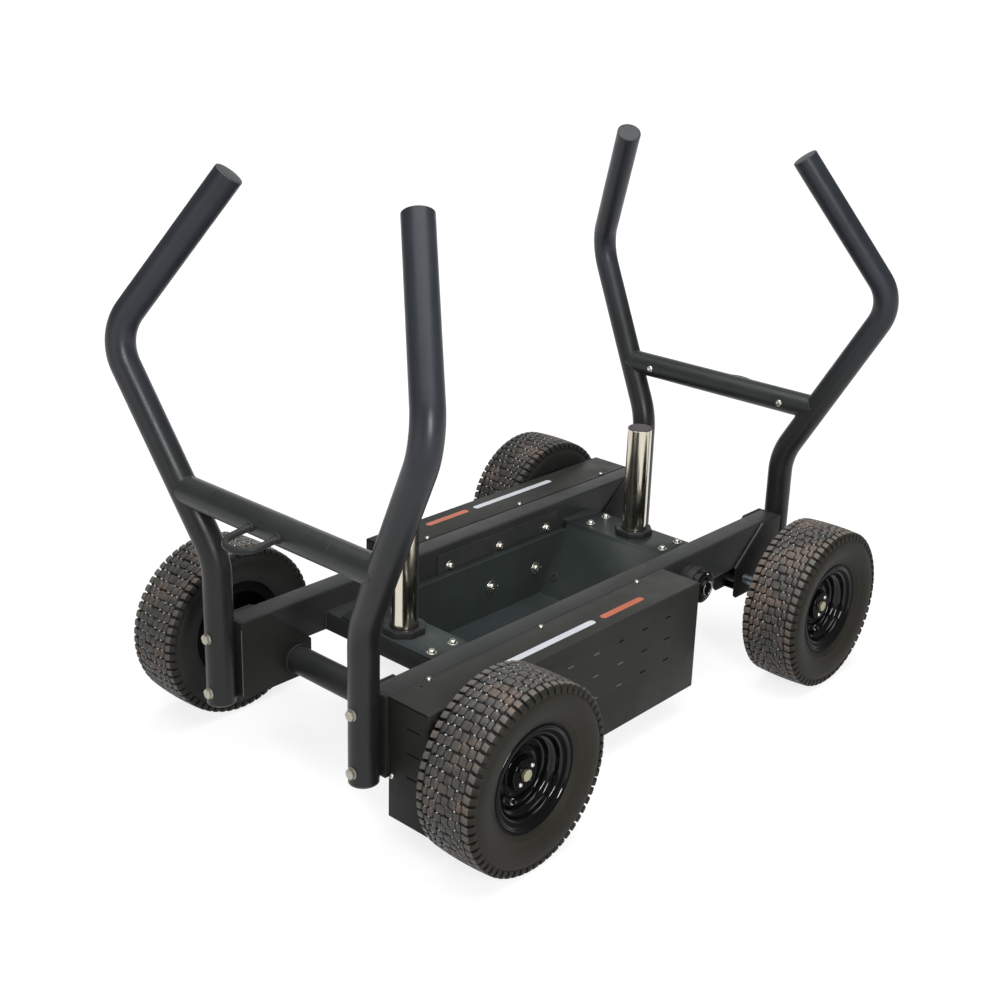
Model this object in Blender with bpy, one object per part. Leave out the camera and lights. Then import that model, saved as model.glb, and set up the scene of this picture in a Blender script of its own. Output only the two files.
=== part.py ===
"""Weight sled on four turf tyres, with a belt driven magnetic brake in each side box.

Units are metres. +X is the front, +Y the left side, +Z up; the origin lies on the floor
below the middle. The sled is the same after half a turn about Z: the right drive box
brakes the rear right wheel and the left one brakes the front left wheel.
"""
import math

import bmesh
import bpy
from mathutils import Matrix, Vector

for old in list(bpy.data.objects):
    bpy.data.objects.remove(old, do_unlink=True)

# Running clearance, and how far a cutter runs past a face; sides and edge angle of round pieces
FIT = 0.0003
CUT = 0.004
ROD_SIDES = 8
ROUND_SIDES = 16
SMOOTH = 40

# Wheels
TYRE_OD = 0.330
TYRE_WIDTH = 0.123
TREAD_DEPTH = 0.004
TREAD_CROWN = 0.0025
TREAD_LUGS = 14
TREAD_ROWS = 3
TREAD_GROOVE = 0.004
TREAD_WIDTH = 0.102
BEAD_WIDTH = 0.013
SIDEWALL_BULGE = 0.036
SHOULDER_DROP = 0.013
SHOULDER_IN = 0.003
LINER_DEPTH = 0.0165
LINER_WIDTH = 0.098
WHEELBASE = 0.898
TYRE_CLEARANCE = 0.0145
RIM_FLANGE_OD = 0.186
RIM_SEAT_OD = 0.156
RIM_WELL_OD = 0.127
RIM_WIDTH = 0.0946
RIM_SHEET = 0.003
RIM_WELL_SHARE = 0.40
WEB_OFFSET = 0.0105
HUB_OD = 0.036
HUB_INNER = 0.035
HUB_OUTER = 0.020
RIM_SIDES = 16

# Axles and bearings
AXLE_OD = 0.020
HUB_SCREW_SHANK = 0.010
HUB_SCREW_GRIP = 0.005
AXLE_FLANGE_OD = 0.052
AXLE_FLANGE = 0.006
HUB_SCREW_FLATS = 0.017
HUB_SCREW_HEAD = 0.008
SHOULDER_OD = 0.032
SHOULDER = 0.030
AXLE_INSET = 0.036
TUBE_BEARING_WIDTH = 0.015
FLANGE_BEARING_OD = 0.070
FLANGE_BEARING = 0.016
BEARING_FLANGE = 0.006
BEARING_BOSS_SHARE = 0.68
AXLE_SIDES = 10

# Side rails, rectangular tube
RAIL_WIDTH = 0.045
RAIL_HEIGHT = 0.080
RAIL_WALL = 0.003
RAIL_CORNER = 0.004
RAIL_SPACING = 0.371
RAIL_LENGTH = 1.1274
RAIL_TOP = 0.2755

# End brackets that close the rail ends and carry the axles
GUSSET = 0.005
BACK_PLATE = 0.008
BRACKET_DROP = 0.1475
BRACKET_TOP_REACH = 0.054
BRACKET_LOW_REACH = 0.1475
BRACKET_FLOOR_REACH = 0.109

# Round frame tube, shared by handles, crossbars and axle tubes
TUBE_OD = 0.051
TUBE_WALL = 0.003
TUBE_SIDES = 10

# Handles: heights of the bend points, and how far each lies out from the post
HANDLE_LOW_BEND = 0.400
HANDLE_ELBOW = 0.761
HANDLE_TIP = 1.040
ELBOW_OUT_X = 0.053
ELBOW_OUT_Y = 0.193
TIP_IN_X = 0.077
TIP_OUT_Y = 0.032
LOW_BEND_RADIUS = 0.140
ELBOW_RADIUS = 0.090
LOW_BEND_STEPS = 3
ELBOW_STEPS = 4

# Crossbars between the handles, and the tow rings on them
CROSSBAR_HEIGHT = 0.514
CROSSBAR_LENGTH = 0.290
CROSSBAR_SPIGOT = 0.045
CROSSBAR_SCREW_IN = 0.027
TOW_ROD = 0.012
TOW_WIDTH = 0.068
TOW_REACH = 0.072
TOW_DROOP = 0.008
TOW_STRAIGHT = 0.003
TOW_STEPS = 4

# Cross members, weight posts and their collars
POST_OD = 0.050
POST_WALL = 0.003
POST_LENGTH = 0.233
POST_SIDES = 14
CAP_FLANGE = 0.003
CAP_EDGE = 0.0015
CAP_SPIGOT = 0.014
CAP_TAPER = 0.004
COLLAR_FLATS = 0.075
COLLAR_HEIGHT = 0.012
MEMBER_WIDTH = 0.085
MEMBER_HEIGHT = 0.039
MEMBER_CLEARANCE = 0.0085

# Weight tray, folded sheet with sloping ends
TRAY_SHEET = 0.003
TRAY_WIDTH = 0.280
TRAY_FLOOR_LENGTH = 0.398
TRAY_TOP_LENGTH = 0.566
TRAY_FLOOR = 0.093
TRAY_LIP = 0.2213
TRAY_FLANGE_TOP = 0.238
TRAY_FLANGE_TAPER = 0.020
STRIP_SHEET = 0.003
STRIP_LENGTH = 0.358
STRIP_START = -0.090
STRIP_HEIGHT = 0.044
STRIP_BOLT_PITCH = 0.146
STRIP_BOLT_HEIGHT = 0.229
SPACER_BOLT_FIRST = 0.044
SPACER_BOLT_PITCH = 0.137
SPACER_BOLT_HEIGHT = 0.158
SPACER_TUBE_OD = 0.016

# Drive boxes
BOX_SHEET = 0.0025
BOX_REAR = -0.5653
BOX_LENGTH = 0.7206
BOX_WIDTH = 0.0897
BOX_HEIGHT = 0.2198
BOX_TOP_FLANGE = 0.014
BOX_END_GAP = 0.0020
COVER_BEND = 0.003
VENT_LENGTH = 0.014
VENT_HEIGHT = 0.0026
VENT_COLUMNS = 5
VENT_ROWS = 3
VENT_PITCH_X = 0.0706
VENT_PITCH_Z = 0.044
VENT_TOP = 0.0415
VENT_FRONT = 0.095
END_VENT_LENGTH = 0.030
END_VENT_IN = 0.056

# Drive train in each box
DRIVE_PULLEY_OD = 0.160
BRAKE_PULLEY_OD = 0.040
PULLEY_WIDTH = 0.016
PULLEY_LIP = 0.004
PULLEY_LIP_WIDTH = 0.002
PULLEY_IN = 0.0240
BELT_THICKNESS = 0.003
BELT_STEPS = 12
PULLEY_SIDES = 20
BRAKE_SHAFT_INSET = 0.2503
BRAKE_SHAFT_OD = 0.012
BRAKE_BEARING_OD = 0.046
BRAKE_BEARING = 0.020
DISC_OD = 0.176
DISC_THICKNESS = 0.006
DISC_IN = 0.0510
DISC_HUB_OD = 0.034
MAGNET_GAP = 0.002
MAGNET_PLATE = 0.0055
MAGNET_HEIGHT = 0.060
MAGNET_OVERLAP = 0.020
MAGNET_THROAT = 0.018
MAGNET_WEB = 0.018
MAGNET_FOOT = 0.040
MAGNET_FOOT_SHEET = 0.005

# Resistance dials on the rails, beyond the boxes
DIAL_GAP = 0.0497
DIAL_HEIGHT = 0.2228
DIAL_HOUSING_OD = 0.073
DIAL_HOUSING = 0.031
DIAL_OD = 0.066
DIAL_THICKNESS = 0.013
DIAL_EDGE = 0.0025
DIAL_BOSS_OD = 0.032
DIAL_BOSS = 0.008
CONDUIT_OD = 0.010

# Fasteners: shank diameter, head across flats, head height
M12 = (0.012, 0.018, 0.0075)
M8 = (0.008, 0.013, 0.0055)
M5 = (0.005, 0.008, 0.0030)
HANDLE_BOLT_TOP = 0.020
HANDLE_BOLT_PITCH = 0.105
MEMBER_BOLT_SPREAD = 0.052
MEMBER_BOLT_Y = 0.0965
COVER_SCREW_IN = 0.0050
COVER_SCREW_REAR = 0.0834
COVER_SCREW_PITCH = 0.2753

# Places that follow from the sizes above
AXLE_Z = TYRE_OD / 2
AXLE_X = WHEELBASE / 2
TUBE_R = TUBE_OD / 2
BORE_R = TUBE_R - TUBE_WALL
RAIL_Y = RAIL_SPACING / 2
RAIL_IN = RAIL_Y - RAIL_WIDTH / 2
RAIL_OUT = RAIL_Y + RAIL_WIDTH / 2
RAIL_END = RAIL_LENGTH / 2
RAIL_BOTTOM = RAIL_TOP - RAIL_HEIGHT
BRACKET_BOTTOM = RAIL_TOP - BRACKET_DROP
BRACKET_IN = RAIL_IN - FIT - GUSSET
BRACKET_OUT = RAIL_OUT + FIT + GUSSET
BACK_IN = RAIL_END + FIT
BACK_OUT = BACK_IN + BACK_PLATE
HANDLE_X = BACK_OUT + FIT + TUBE_R
BOX_IN = RAIL_OUT + FIT
BOX_OUT = BOX_IN + BOX_WIDTH
WHEEL_Y = BOX_OUT + TYRE_CLEARANCE + TYRE_WIDTH / 2
BOX_FRONT = BOX_REAR + BOX_LENGTH
BRAKE_SHAFT_X = BOX_FRONT - BRAKE_SHAFT_INSET
DIAL_X = BOX_FRONT + DIAL_GAP + DIAL_HOUSING_OD / 2
BOX_TOP = RAIL_TOP
BOX_BOTTOM = BOX_TOP - BOX_HEIGHT
WALL_FACE = BOX_IN + BOX_SHEET + FIT
POST_X = TRAY_TOP_LENGTH / 2 + MEMBER_CLEARANCE + MEMBER_WIDTH / 2
MEMBER_TOP = TRAY_FLANGE_TOP - TRAY_SHEET - FIT
POST_BASE = TRAY_FLANGE_TOP + FIT

MATERIALS = {
    "powder_coat": ((0.035, 0.036, 0.035), 0.42, 0.25),
    "tray_coat": ((0.030, 0.042, 0.042), 0.50, 0.20),
    "gloss_black": ((0.010, 0.010, 0.011), 0.12, 0.30),
    "chrome": ((0.62, 0.62, 0.61), 0.08, 1.0),
    "zinc_steel": ((0.55, 0.55, 0.53), 0.30, 1.0),
    "bare_steel": ((0.36, 0.36, 0.36), 0.38, 1.0),
    "rubber": ((0.030, 0.028, 0.025), 0.90, 0.0),
    "black_plastic": ((0.020, 0.020, 0.020), 0.50, 0.0),
}


def material(name):
    """Principled material of the named finish, made once."""
    made = bpy.data.materials.get(name)
    if made:
        return made
    color, roughness, metallic = MATERIALS[name]
    made = bpy.data.materials.new(name)
    made.use_nodes = True
    shader = made.node_tree.nodes["Principled BSDF"]
    shader.inputs["Base Color"].default_value = (*color, 1.0)
    shader.inputs["Roughness"].default_value = roughness
    shader.inputs["Metallic"].default_value = metallic
    return made


def place(obj, finish, at, half_turn):
    """Give an object its finish and its place; half_turn puts the copy across the middle."""
    own = material(finish).copy()
    own.name = obj.name + "_finish"
    obj.data.materials.clear()
    obj.data.materials.append(own)
    x, y, z = at
    if half_turn:
        obj.location = (-x, -y, z)
        obj.rotation_euler.z = math.pi
    else:
        obj.location = (x, y, z)
    return obj


def solid(name, bm, finish, at=(0, 0, 0), half_turn=False, smooth=None):
    """Turn a bmesh into a named object; smooth is the sharp-edge angle for round pieces."""
    bmesh.ops.recalc_face_normals(bm, faces=bm.faces)
    mesh = bpy.data.meshes.new(name)
    bm.to_mesh(mesh)
    bm.free()
    obj = bpy.data.objects.new(name, mesh)
    bpy.context.scene.collection.objects.link(obj)
    if smooth is not None:
        mesh.shade_smooth()
        mesh.set_sharp_from_angle(angle=math.radians(smooth))
    return place(obj, finish, at, half_turn)


def combine(obj, bm, label, operation):
    """Boolean of the object with the shape in bm, which is given in the object's own frame."""
    bmesh.ops.recalc_face_normals(bm, faces=bm.faces)
    mesh = bpy.data.meshes.new(obj.name + "_" + label)
    bm.to_mesh(mesh)
    bm.free()
    other = bpy.data.objects.new(obj.name + "_" + label, mesh)
    bpy.context.scene.collection.objects.link(other)
    other.location = obj.location
    other.rotation_euler = obj.rotation_euler
    add_boolean(obj, other, label, operation)


def add_boolean(obj, other, label, operation):
    other.hide_render = True
    other.display_type = "WIRE"
    boolean = obj.modifiers.new(label, "BOOLEAN")
    boolean.operation = operation
    boolean.solver = "EXACT"
    boolean.object = other


def cut(obj, bm, label):
    combine(obj, bm, label, "DIFFERENCE")


def fuse(obj, bm, label):
    """Join a welded or screwed-on shape to the object as one body."""
    combine(obj, bm, label, "UNION")


def add_box(bm, xs, ys, zs):
    """Axis-aligned box from three (low, high) pairs."""
    size = (xs[1] - xs[0], ys[1] - ys[0], zs[1] - zs[0])
    middle = ((xs[0] + xs[1]) / 2, (ys[0] + ys[1]) / 2, (zs[0] + zs[1]) / 2)
    matrix = Matrix.Translation(middle) @ Matrix.Diagonal((*size, 1.0))
    return bmesh.ops.create_cube(bm, size=1.0, matrix=matrix)["verts"]


def add_prism(bm, outline, low, high, axis):
    """Extrude a closed outline along an axis, from low to high."""
    def spot(a, b, along):
        return {"X": (along, a, b), "Y": (a, along, b), "Z": (a, b, along)}[axis]
    verts = [bm.verts.new(spot(a, b, low)) for a, b in outline]
    face = bm.faces.new(verts)
    grown = bmesh.ops.extrude_face_region(bm, geom=[face])["geom"]
    lifted = [item for item in grown if isinstance(item, bmesh.types.BMVert)]
    bmesh.ops.translate(bm, verts=lifted, vec=spot(0, 0, high - low))


def add_rod(bm, radius, start, end, sides, radius_end=None):
    """Solid round bar between two points, a vertex of its section along its first normal."""
    start, end = Vector(start), Vector(end)
    along = end - start
    turn = along.to_track_quat("Z", "Y").to_matrix().to_4x4()
    matrix = Matrix.Translation((start + end) / 2) @ turn
    bmesh.ops.create_cone(bm, cap_ends=True, segments=sides, radius1=radius,
                          radius2=radius if radius_end is None else radius_end,
                          depth=along.length, matrix=matrix)


def add_lathe(bm, profile, sides, axis="Y", at=(0, 0, 0), turn=None):
    """Spin a closed (radius, along) profile into a ring about an axis through at."""
    spin_axis = {"X": Vector((1, 0, 0)), "Y": Vector((0, 1, 0)), "Z": Vector((0, 0, 1))}[axis]
    out = {"X": Vector((0, 0, 1)), "Y": Vector((1, 0, 0)), "Z": Vector((1, 0, 0))}[axis]
    start = [bm.verts.new(out * r + spin_axis * s) for r, s in profile]
    edges = [bm.edges.new((a, b)) for a, b in zip(start, start[1:] + start[:1])]
    before = set(bm.verts) - set(start)
    bmesh.ops.spin(bm, geom=start + edges, cent=(0, 0, 0), axis=spin_axis, dvec=(0, 0, 0),
                   angle=2 * math.pi, steps=sides, use_merge=True)
    made = [v for v in bm.verts if v not in before]
    matrix = Matrix.Translation(at)
    if turn is not None:
        matrix = matrix @ turn
    bmesh.ops.transform(bm, matrix=matrix, verts=made)
    return made


def bore_radius(shaft_od, sides):
    """Corner radius of a bore with that many sides whose flats clear the shaft."""
    return (shaft_od / 2 + FIT) / math.cos(math.pi / sides)


def add_turned(bm, profile, sides):
    """Turned solid about Z from an open (radius, along) profile, closed by a face at each end."""
    rings = []
    for radius, along in profile:
        rings.append([bm.verts.new((radius * math.cos(2 * math.pi * i / sides),
                                    radius * math.sin(2 * math.pi * i / sides), along))
                      for i in range(sides)])
    for low, high in zip(rings, rings[1:]):
        for i in range(sides):
            j = (i + 1) % sides
            bm.faces.new((low[i], low[j], high[j], high[i]))
    bm.faces.new(rings[0])
    bm.faces.new(rings[-1])
    return [v for ring in rings for v in ring]


def add_bolt(bm, size, seat, inward, grip, sink=FIT):
    """Hex bolt: its head stands on seat, set sink deep in it, and its shank goes grip deep."""
    shank, flats, height = size
    corner = flats / 2 / math.cos(math.pi / 6)
    profile = [(corner, -height), (corner, sink), (shank / 2, sink), (shank / 2, grip)]
    made = add_turned(bm, profile, 6)
    along = Vector(inward).to_track_quat("Z", "Y").to_matrix().to_4x4()
    bmesh.ops.transform(bm, matrix=Matrix.Translation(seat) @ along, verts=made)


def add_hole(bm, size, seat, inward, depth):
    """Cutter for a bolt's clearance hole, running depth each way from its seat."""
    inward = Vector(inward).normalized()
    seat = Vector(seat)
    add_rod(bm, bore_radius(size[0], 6), seat - inward * CUT, seat + inward * depth, 6)


def add_square_tube(bm, xs, ys, zs, wall, axis, corner=0.0):
    """Rectangular tube along X or Y, with its outer long edges bevelled."""
    spans = {"X": (ys, zs), "Y": (xs, zs)}[axis]
    along = {"X": xs, "Y": ys}[axis]

    def spot(a, b, c):
        return (c, a, b) if axis == "X" else (a, c, b)

    loops = []
    for inset in (0.0, wall):
        for c in along:
            (a0, a1), (b0, b1) = spans
            corners = ((a0 + inset, b0 + inset), (a1 - inset, b0 + inset),
                       (a1 - inset, b1 - inset), (a0 + inset, b1 - inset))
            loops.append([bm.verts.new(spot(a, b, c)) for a, b in corners])
    outer_low, outer_high, inner_low, inner_high = loops
    long_edges = []
    for i in range(4):
        j = (i + 1) % 4
        bm.faces.new((outer_low[i], outer_low[j], outer_high[j], outer_high[i]))
        bm.faces.new((inner_low[j], inner_low[i], inner_high[i], inner_high[j]))
        bm.faces.new((outer_low[j], outer_low[i], inner_low[i], inner_low[j]))
        bm.faces.new((outer_high[i], outer_high[j], inner_high[j], inner_high[i]))
        long_edges.append(bm.edges.get((outer_low[i], outer_high[i])))
    if corner:
        bmesh.ops.bevel(bm, geom=long_edges, offset=corner, segments=1, affect="EDGES")


def rounded_path(points, radii, arc_steps):
    """Points of a path whose inner corners are replaced by arcs of the given radii."""
    points = [Vector(p) for p in points]
    path = [points[0]]
    for before, here, after, radius, steps in zip(points, points[1:], points[2:], radii, arc_steps):
        arm_in = (before - here).normalized()
        arm_out = (after - here).normalized()
        half = arm_in.angle(arm_out) / 2
        setback = radius / math.tan(half)
        centre = here + (arm_in + arm_out).normalized() * (radius / math.sin(half))
        start = here + arm_in * setback
        sweep = math.pi - 2 * half
        spin = (start - centre).cross(here + arm_out * setback - centre).normalized()
        for k in range(steps + 1):
            path.append(centre + Matrix.Rotation(sweep * k / steps, 3, spin) @ (start - centre))
    path.append(points[-1])
    return path


def tube_curve(name, paths, radius, sides, caps):
    """Round bars along the given paths: bevelled curve splines, turned into one mesh object."""
    curve = bpy.data.curves.new(name, "CURVE")
    curve.dimensions = "3D"
    curve.bevel_depth = radius
    curve.bevel_resolution = (sides - 4) // 2
    curve.use_fill_caps = caps
    for path in paths:
        spline = curve.splines.new("POLY")
        spline.points.add(len(path) - 1)
        for point, spot in zip(spline.points, path):
            point.co = (*spot, 1.0)
    drawn = bpy.data.objects.new(name + "_curve", curve)
    bpy.context.scene.collection.objects.link(drawn)
    bpy.context.view_layer.update()
    ready = drawn.evaluated_get(bpy.context.evaluated_depsgraph_get())
    mesh = bpy.data.meshes.new_from_object(ready)
    bpy.data.objects.remove(drawn, do_unlink=True)
    obj = bpy.data.objects.new(name, mesh)
    bpy.context.scene.collection.objects.link(obj)
    mesh.shade_smooth()
    mesh.set_sharp_from_angle(angle=math.radians(SMOOTH))
    return obj


def handle_corners(end, side):
    """The four corner points of a handle's centre line; end and side are -1 or 1."""
    x, y = end * HANDLE_X, side * RAIL_Y
    return [Vector((x, y, BRACKET_BOTTOM)),
            Vector((x, y, HANDLE_LOW_BEND)),
            Vector((x + end * ELBOW_OUT_X, y + side * ELBOW_OUT_Y, HANDLE_ELBOW)),
            Vector((x - end * TIP_IN_X, y + side * TIP_OUT_Y, HANDLE_TIP))]


def handle_path(end, side):
    return rounded_path(handle_corners(end, side), (LOW_BEND_RADIUS, ELBOW_RADIUS),
                        (LOW_BEND_STEPS, ELBOW_STEPS))


def crossbar_spot():
    """X and Y of a front left handle's centre line at the height of the crossbar."""
    low, elbow = handle_corners(1, 1)[1:3]
    share = (CROSSBAR_HEIGHT - low.z) / (elbow.z - low.z)
    return low.lerp(elbow, share)


ENDS = {"rear": -1, "front": 1}
SIDES = {"left": 1, "right": -1}


# Handles, their end caps, crossbars and tow rings

def handle_bolt_heights():
    top = RAIL_TOP - HANDLE_BOLT_TOP
    return (top, top - HANDLE_BOLT_PITCH)


def add_turned_y(bm, profile, sides, at):
    """Turned solid about an axis along Y through at, from a (radius, y) profile."""
    made = add_turned(bm, [(r, -y) for r, y in profile], sides)
    turn = Matrix.Rotation(math.pi / 2, 4, "X")
    bmesh.ops.transform(bm, matrix=Matrix.Translation(at) @ turn, verts=made)
    return made


def make_handles():
    """Bent tubes, closed at the tip, each with a socket for the crossbar and its bolts."""
    spot = crossbar_spot()
    half = CROSSBAR_LENGTH / 2
    for end_name, end in ENDS.items():
        for side_name, side in SIDES.items():
            path = handle_path(end, side)
            name = f"handle_{end_name}_{side_name}"
            tube = tube_curve(name, [path], TUBE_R, TUBE_SIDES, True)
            place(tube, "powder_coat", (0, 0, 0), False)
            middle = (end * spot.x, 0, CROSSBAR_HEIGHT)
            socket = bmesh.new()
            add_turned_y(socket, [(TUBE_R, side * (half + FIT)), (TUBE_R, side * spot.y)],
                         TUBE_SIDES, middle)
            fuse(tube, socket, "socket")
            tip_run = (path[-2] - path[-1]).normalized()
            inside = [path[0] - Vector((0, 0, CUT))] + path[1:-1] + [path[-1] + tip_run * TUBE_WALL]
            bore = tube_curve(name + "_bore", [inside], BORE_R, TUBE_SIDES, True)
            add_boolean(tube, bore, "bore", "DIFFERENCE")
            socket_bore = bmesh.new()
            add_turned_y(socket_bore, [(BORE_R, side * (half - CUT)), (BORE_R, side * spot.y)],
                         TUBE_SIDES, middle)
            cut(tube, socket_bore, "socket_bore")
            bolts = bmesh.new()
            for z in handle_bolt_heights():
                add_bolt(bolts, M12, (end * (HANDLE_X + TUBE_R), side * RAIL_Y, z), (-end, 0, 0),
                         TUBE_OD + BACK_PLATE, sink=CUT)
            seat = (end * (spot.x - TUBE_R), side * (half + CROSSBAR_SCREW_IN), CROSSBAR_HEIGHT)
            add_bolt(bolts, M8, seat, (end, 0, 0), TUBE_R / 2, sink=CUT / 2)
            fuse(tube, bolts, "bolts")


def make_post_caps():
    radius = POST_OD / 2
    plug = radius - POST_WALL - FIT
    for end_name, end in ENDS.items():
        bm = bmesh.new()
        add_turned(bm, [(plug - CAP_TAPER, -CAP_SPIGOT), (plug, FIT), (radius, FIT),
                        (radius, CAP_FLANGE - CAP_EDGE), (radius - CAP_EDGE, CAP_FLANGE)],
                   POST_SIDES)
        top = (end * POST_X, 0, POST_BASE + POST_LENGTH)
        solid(f"post_cap_{end_name}", bm, "black_plastic", at=top, smooth=SMOOTH)


def make_crossbars():
    spot = crossbar_spot()
    half = CROSSBAR_LENGTH / 2
    spigot = BORE_R - FIT
    tip = half + CROSSBAR_SPIGOT
    bore = spigot - TUBE_WALL
    profile = [(bore, -tip), (spigot, -tip), (spigot, -half), (TUBE_R, -half),
               (TUBE_R, half), (spigot, half), (spigot, tip), (bore, tip)]
    for end_name, end in ENDS.items():
        bm = bmesh.new()
        add_lathe(bm, profile, TUBE_SIDES)
        centre = (end * spot.x, 0, CROSSBAR_HEIGHT)
        bar = solid(f"crossbar_{end_name}", bm, "powder_coat", at=centre, smooth=SMOOTH)
        holes = bmesh.new()
        for side in SIDES.values():
            seat = (-end * TUBE_R, side * (half + CROSSBAR_SCREW_IN), 0)
            add_hole(holes, M8, seat, (end, 0, 0), TUBE_R)
        cut(bar, holes, "screw_holes")


def make_tow_rings():
    spot = crossbar_spot()
    for end_name, end in ENDS.items():
        start = end * (spot.x + TUBE_R + FIT)
        tip = end * (spot.x + TUBE_R + TOW_REACH - TOW_ROD / 2)
        half = TOW_WIDTH / 2
        low = CROSSBAR_HEIGHT - TOW_DROOP
        corners = [(start, half, CROSSBAR_HEIGHT), (tip, half, low), (tip, -half, low),
                   (start, -half, CROSSBAR_HEIGHT)]
        bend = half - TOW_STRAIGHT / 2
        path = rounded_path(corners, (bend, bend), (TOW_STEPS, TOW_STEPS))
        ring = tube_curve(f"tow_ring_{end_name}", [path], TOW_ROD / 2, ROD_SIDES, True)
        place(ring, "powder_coat", (0, 0, 0), False)


# Rails, end brackets and axle tubes

def make_rails():
    for side_name, side in SIDES.items():
        bm = bmesh.new()
        ys = sorted((side * RAIL_IN, side * RAIL_OUT))
        add_square_tube(bm, (-RAIL_END, RAIL_END), ys, (RAIL_BOTTOM, RAIL_TOP), RAIL_WALL, "X",
                        RAIL_CORNER)
        rail = solid(f"rail_{side_name}", bm, "powder_coat")
        holes = bmesh.new()
        for x in strip_bolt_places():
            add_hole(holes, M8, (side * x, side * RAIL_IN, STRIP_BOLT_HEIGHT), (0, side, 0),
                     RAIL_WALL + CUT)
        cut(rail, holes, "strip_holes")


def make_bracket(name, half_turn, outer_plate):
    """Welded end bracket, drawn for the rear end: right side plain, left side with both plates."""
    side = 1 if outer_plate else -1
    top, low = RAIL_TOP, BRACKET_BOTTOM
    outline = [(-BACK_OUT, top), (-RAIL_END + BRACKET_TOP_REACH, top),
               (-RAIL_END + BRACKET_LOW_REACH, RAIL_BOTTOM), (-RAIL_END + BRACKET_LOW_REACH, low),
               (-BACK_OUT, low)]
    far = BRACKET_OUT if outer_plate else RAIL_OUT
    bm = bmesh.new()
    ys = sorted((side * BRACKET_IN, side * far))
    add_prism(bm, outline, ys[0], ys[1], "Y")
    bracket = solid(name, bm, "powder_coat", half_turn=half_turn)
    open_to = RAIL_OUT + FIT if outer_plate else far + CUT
    room = bmesh.new()
    reach = -RAIL_END + BRACKET_LOW_REACH + CUT
    floor_end = -RAIL_END + BRACKET_FLOOR_REACH
    inside = [(-BACK_IN, top + CUT), (reach, top + CUT), (reach, low - CUT), (floor_end, low - CUT),
              (floor_end, low + GUSSET), (-BACK_IN, low + GUSSET)]
    ys = sorted((side * (RAIL_IN - FIT), side * open_to))
    add_prism(room, inside, ys[0], ys[1], "Y")
    cut(bracket, room, "room")
    holes = bmesh.new()
    for z in handle_bolt_heights():
        add_hole(holes, M12, (-BACK_OUT, side * RAIL_Y, z), (1, 0, 0), BACK_PLATE + CUT)
    add_rod(holes, bore_radius(AXLE_OD, AXLE_SIDES), (-AXLE_X, side * (BRACKET_IN - CUT), AXLE_Z),
            (-AXLE_X, side * (BRACKET_OUT + CUT), AXLE_Z), AXLE_SIDES)
    cut(bracket, holes, "holes")


def make_axle_tubes():
    """Cross tubes on the axle line, with a bearing ring pressed in each end."""
    half = BRACKET_IN - FIT
    ring = half - TUBE_BEARING_WIDTH
    bore = bore_radius(AXLE_OD, TUBE_SIDES)
    profile = [(bore, -half), (TUBE_R, -half), (TUBE_R, half), (bore, half), (bore, ring),
               (BORE_R, ring), (BORE_R, -ring), (bore, -ring)]
    for end_name, end in ENDS.items():
        bm = bmesh.new()
        add_lathe(bm, profile, TUBE_SIDES)
        solid(f"axle_tube_{end_name}", bm, "powder_coat", at=(end * AXLE_X, 0, AXLE_Z), smooth=SMOOTH)


# Cross members, weight posts, collars and the tray

def member_bolt_places():
    """Places of the bolts on the front tray flange."""
    return [(POST_X + dx, y) for dx in (-MEMBER_BOLT_SPREAD / 2, MEMBER_BOLT_SPREAD / 2)
            for y in (-MEMBER_BOLT_Y, MEMBER_BOLT_Y)]


def make_cross_members():
    for end_name, end in ENDS.items():
        bm = bmesh.new()
        xs = (end * POST_X - MEMBER_WIDTH / 2, end * POST_X + MEMBER_WIDTH / 2)
        ys = (-RAIL_IN + FIT, RAIL_IN - FIT)
        add_square_tube(bm, xs, ys, (MEMBER_TOP - MEMBER_HEIGHT, MEMBER_TOP), RAIL_WALL, "Y")
        member = solid(f"cross_member_{end_name}", bm, "powder_coat")
        holes = bmesh.new()
        for x, y in member_bolt_places():
            add_hole(holes, M8, (end * x, y, MEMBER_TOP), (0, 0, -1), RAIL_WALL + CUT)
        cut(member, holes, "bolt_holes")


def make_posts():
    outer = POST_OD / 2
    inner = outer - POST_WALL
    corner = COLLAR_FLATS / 2 / math.cos(math.pi / 8)
    bore = bore_radius(POST_OD, POST_SIDES)
    for end_name, end in ENDS.items():
        at = (end * POST_X, 0, POST_BASE)
        bm = bmesh.new()
        add_lathe(bm, [(inner, 0), (outer, 0), (outer, POST_LENGTH), (inner, POST_LENGTH)],
                  POST_SIDES, axis="Z")
        solid(f"weight_post_{end_name}", bm, "chrome", at=at, smooth=SMOOTH)
        bm = bmesh.new()
        octagon = [(corner * math.cos(math.pi * (2 * i + 1) / 8),
                    corner * math.sin(math.pi * (2 * i + 1) / 8)) for i in range(8)]
        add_prism(bm, octagon, 0, COLLAR_HEIGHT, "Z")
        collar = solid(f"post_collar_{end_name}", bm, "black_plastic", at=at)
        hole = bmesh.new()
        add_rod(hole, bore, (0, 0, -CUT), (0, 0, COLLAR_HEIGHT + CUT), POST_SIDES)
        cut(collar, hole, "bore")


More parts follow.
